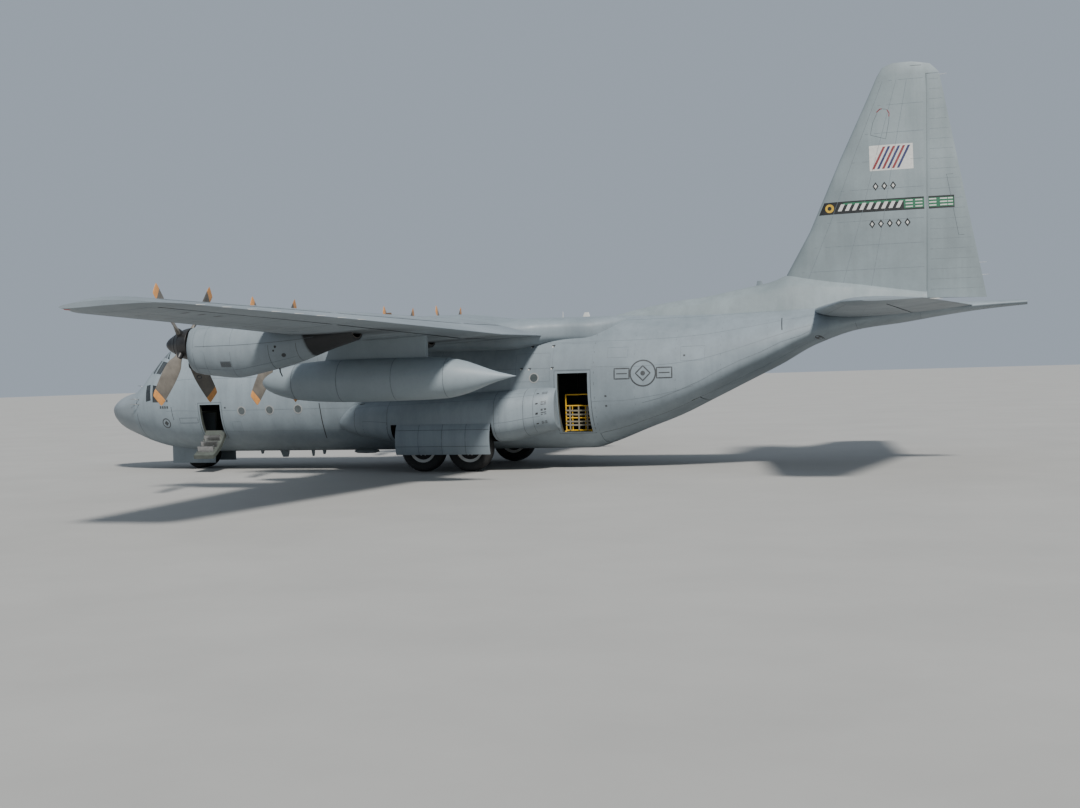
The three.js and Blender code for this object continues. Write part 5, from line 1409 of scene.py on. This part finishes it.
def build_tailplane_details():
    for name, side in SIDES:
        place = across_span(side)
        parts, moving = [], []
        for face in (1, -1):
            skin = on_lifting(parts, TAILPLANE, place, face, UPWARD)
            for share, shade in ((0.06, DARK_LINE), (0.3, FAINT_LINE)):
                skin.line([at_share(TAILPLANE, p, share) for p in (1100, 4000, 7500)], 11, shade, step=700)
            for span in (2200, 3600, 5000, 6400):
                lead = row_at(TAILPLANE, span)[1]
                skin.line([(span, lead + 60), (span, elevator_hinge(span) - 230)], 9, FAINT_LINE)
            tab = [(2600, 0.02), (4900, 0.02), (4900, 0.24), (2600, 0.24)]
            path = [at_share(TAILPLANE, span, 0.995 - back * 0.45) for span, back in tab]
            on_lifting(moving, TAILPLANE, place, face, UPWARD).loop(path, 11, DARK_LINE, step=400)
        for span in (6700, 7000, 7200):
            row = row_at(TAILPLANE, span)
            moving.append(wick_data(place(row, row[2], 0), (60, side * 6, 0), (190, side * 20, 4), PALE_MARK))
        details("tailplane_lines_" + name, parts)
        details("elevator_lines_" + name, moving, "elevator_" + name)


GUARD_Y, GUARD_ENDS = 1480, (16850, 17650)


def build_guard():
    """The yellow guard: posts on feet, rails, uprights and webbing."""
    y, (s0, s1) = GUARD_Y, GUARD_ENDS
    rods = []
    for s in (s0, s1):
        rods.append(([(s, y, z) for z in (1121, 1300, 1700, 2235)], 20))
        rods.append(([(s, y - 90, 1136), (s, y, 1150), (s, y + 90, 1136)], 26))
    rods += [([(s, y, z) for s in np.linspace(s0, s1, 6)], 19) for z in (1160, 1530, 1895, 2230)]
    rods += [([(s, y, z) for z in (1160, 1530, 1895)], 13) for s in (17050, 17250, 17450)]
    parts = [tube_data(line, radius, 14) for line, radius in rods]
    for z, drop in ((1325, 8), (1640, 10), (1760, 12), (1430, 8)):
        rings = []
        for s in np.linspace(s0, s1, 14):
            low = z - drop * math.sin(math.pi * (s - s0) / (s1 - s0))
            rings.append([(s, y + out, low + half)
                          for out, half in ((22, -24), (22, 24), (28, 24), (28, -24))])
        parts.append((*loft_data(rings), 1))
    for s in (s0 + 130, s0 + 400, s0 + 660):
        rings = [[(s + half, y + out, z) for half, out in ((-22, 29), (22, 29), (22, 34), (-22, 34))]
                 for z in (1170, 1400, 1650, 1885)]
        parts.append((*loft_data(rings), 1))
    piece(make("doorway_guard_rails", parts, [YELLOW, STRAP], 40),
          replaces="doorway_guard")


def build_hold_lining():
    """Frames and rails inside the hold, seen through the doorways."""
    parts = []
    for s in (*range(6700, 11000, 800), *range(15500, 17900, 800)):
        first, count = (60, 26) if s == 17100 else (-24, 40)
        parts.append(tube_data(skin_at(s, np.radians(np.linspace(first, 204, count)), WALL + 18), 26, 6))
    for d in (18, 48, 132, 162):
        for start, end in ((5500, 11200), (15250, 16650 if d < 90 else 17800)):
            rail = skin_at(np.linspace(start, end, 12), math.radians(d), WALL + 12)
            parts.append(tube_data(rail, 18, 6, 1))
    piece(make("hold_frames", parts, [LINING, INTERIOR], 40))


build_fuselage_lines()
build_badges()
build_portholes()
build_antennas()
build_sponson_lines()
build_nacelle_details()
build_wing_details()
build_fin_details()
build_tailplane_details()
build_guard()
build_hold_lining()


# Camera, light and floor

CAMERA_PLACE = (-6.919665, 21.803805, 1.5962)
CAMERA_YAW, CAMERA_PITCH, CAMERA_ROLL = 0.3765498, 0.0245881, -0.0316308


def build_stage():
    scene = bpy.context.scene
    camera = bpy.data.objects.new("camera", bpy.data.cameras.new("camera"))
    scene.collection.objects.link(camera)
    level = math.cos(CAMERA_PITCH)
    forward = Vector((math.sin(CAMERA_YAW) * level, -math.cos(CAMERA_YAW) * level, math.sin(CAMERA_PITCH)))
    right = forward.cross(Vector((0, 0, 1))).normalized()
    up = right.cross(forward)
    c, n = math.cos(CAMERA_ROLL), math.sin(CAMERA_ROLL)
    matrix = Matrix((right * c + up * n, up * c - right * n, -forward)).transposed().to_4x4()
    matrix.translation = CAMERA_PLACE
    camera.matrix_world = matrix
    camera.data.sensor_width = 36
    camera.data.lens = 48.1686
    camera.data.shift_x, camera.data.shift_y = 0.114764, -0.066721
    camera.data.clip_end = 400
    scene.camera = camera

    world = bpy.data.worlds.new("studio")
    world.use_nodes = True
    background = world.node_tree.nodes["Background"].inputs
    background["Color"].default_value = (0.7, 0.81, 0.95, 1)
    background["Strength"].default_value = 0.5
    scene.world = world
    sun = bpy.data.objects.new("key", bpy.data.lights.new("key", "SUN"))
    sun.data.energy = 4.6
    sun.data.angle = math.radians(7)
    sun.data.color = (1.0, 0.97, 0.92)
    sun.rotation_euler = Vector((0.5, -0.8, -1.0)).to_track_quat("-Z", "Y").to_euler()
    scene.collection.objects.link(sun)

    rings = [stack(LENGTH / 2 + r * np.cos(turns(96)), r * np.sin(turns(96)), z)
             for r, z in ((1, -2), (60000, -2), (240000, -2), (240000, -40), (1, -40))]
    pale = plain_finish("floor_pale", (0.37, 0.365, 0.35), 0.05, 0.6, (0.8, 0.9))
    make("floor", loft_data(rings), pale, 60)


build_stage()
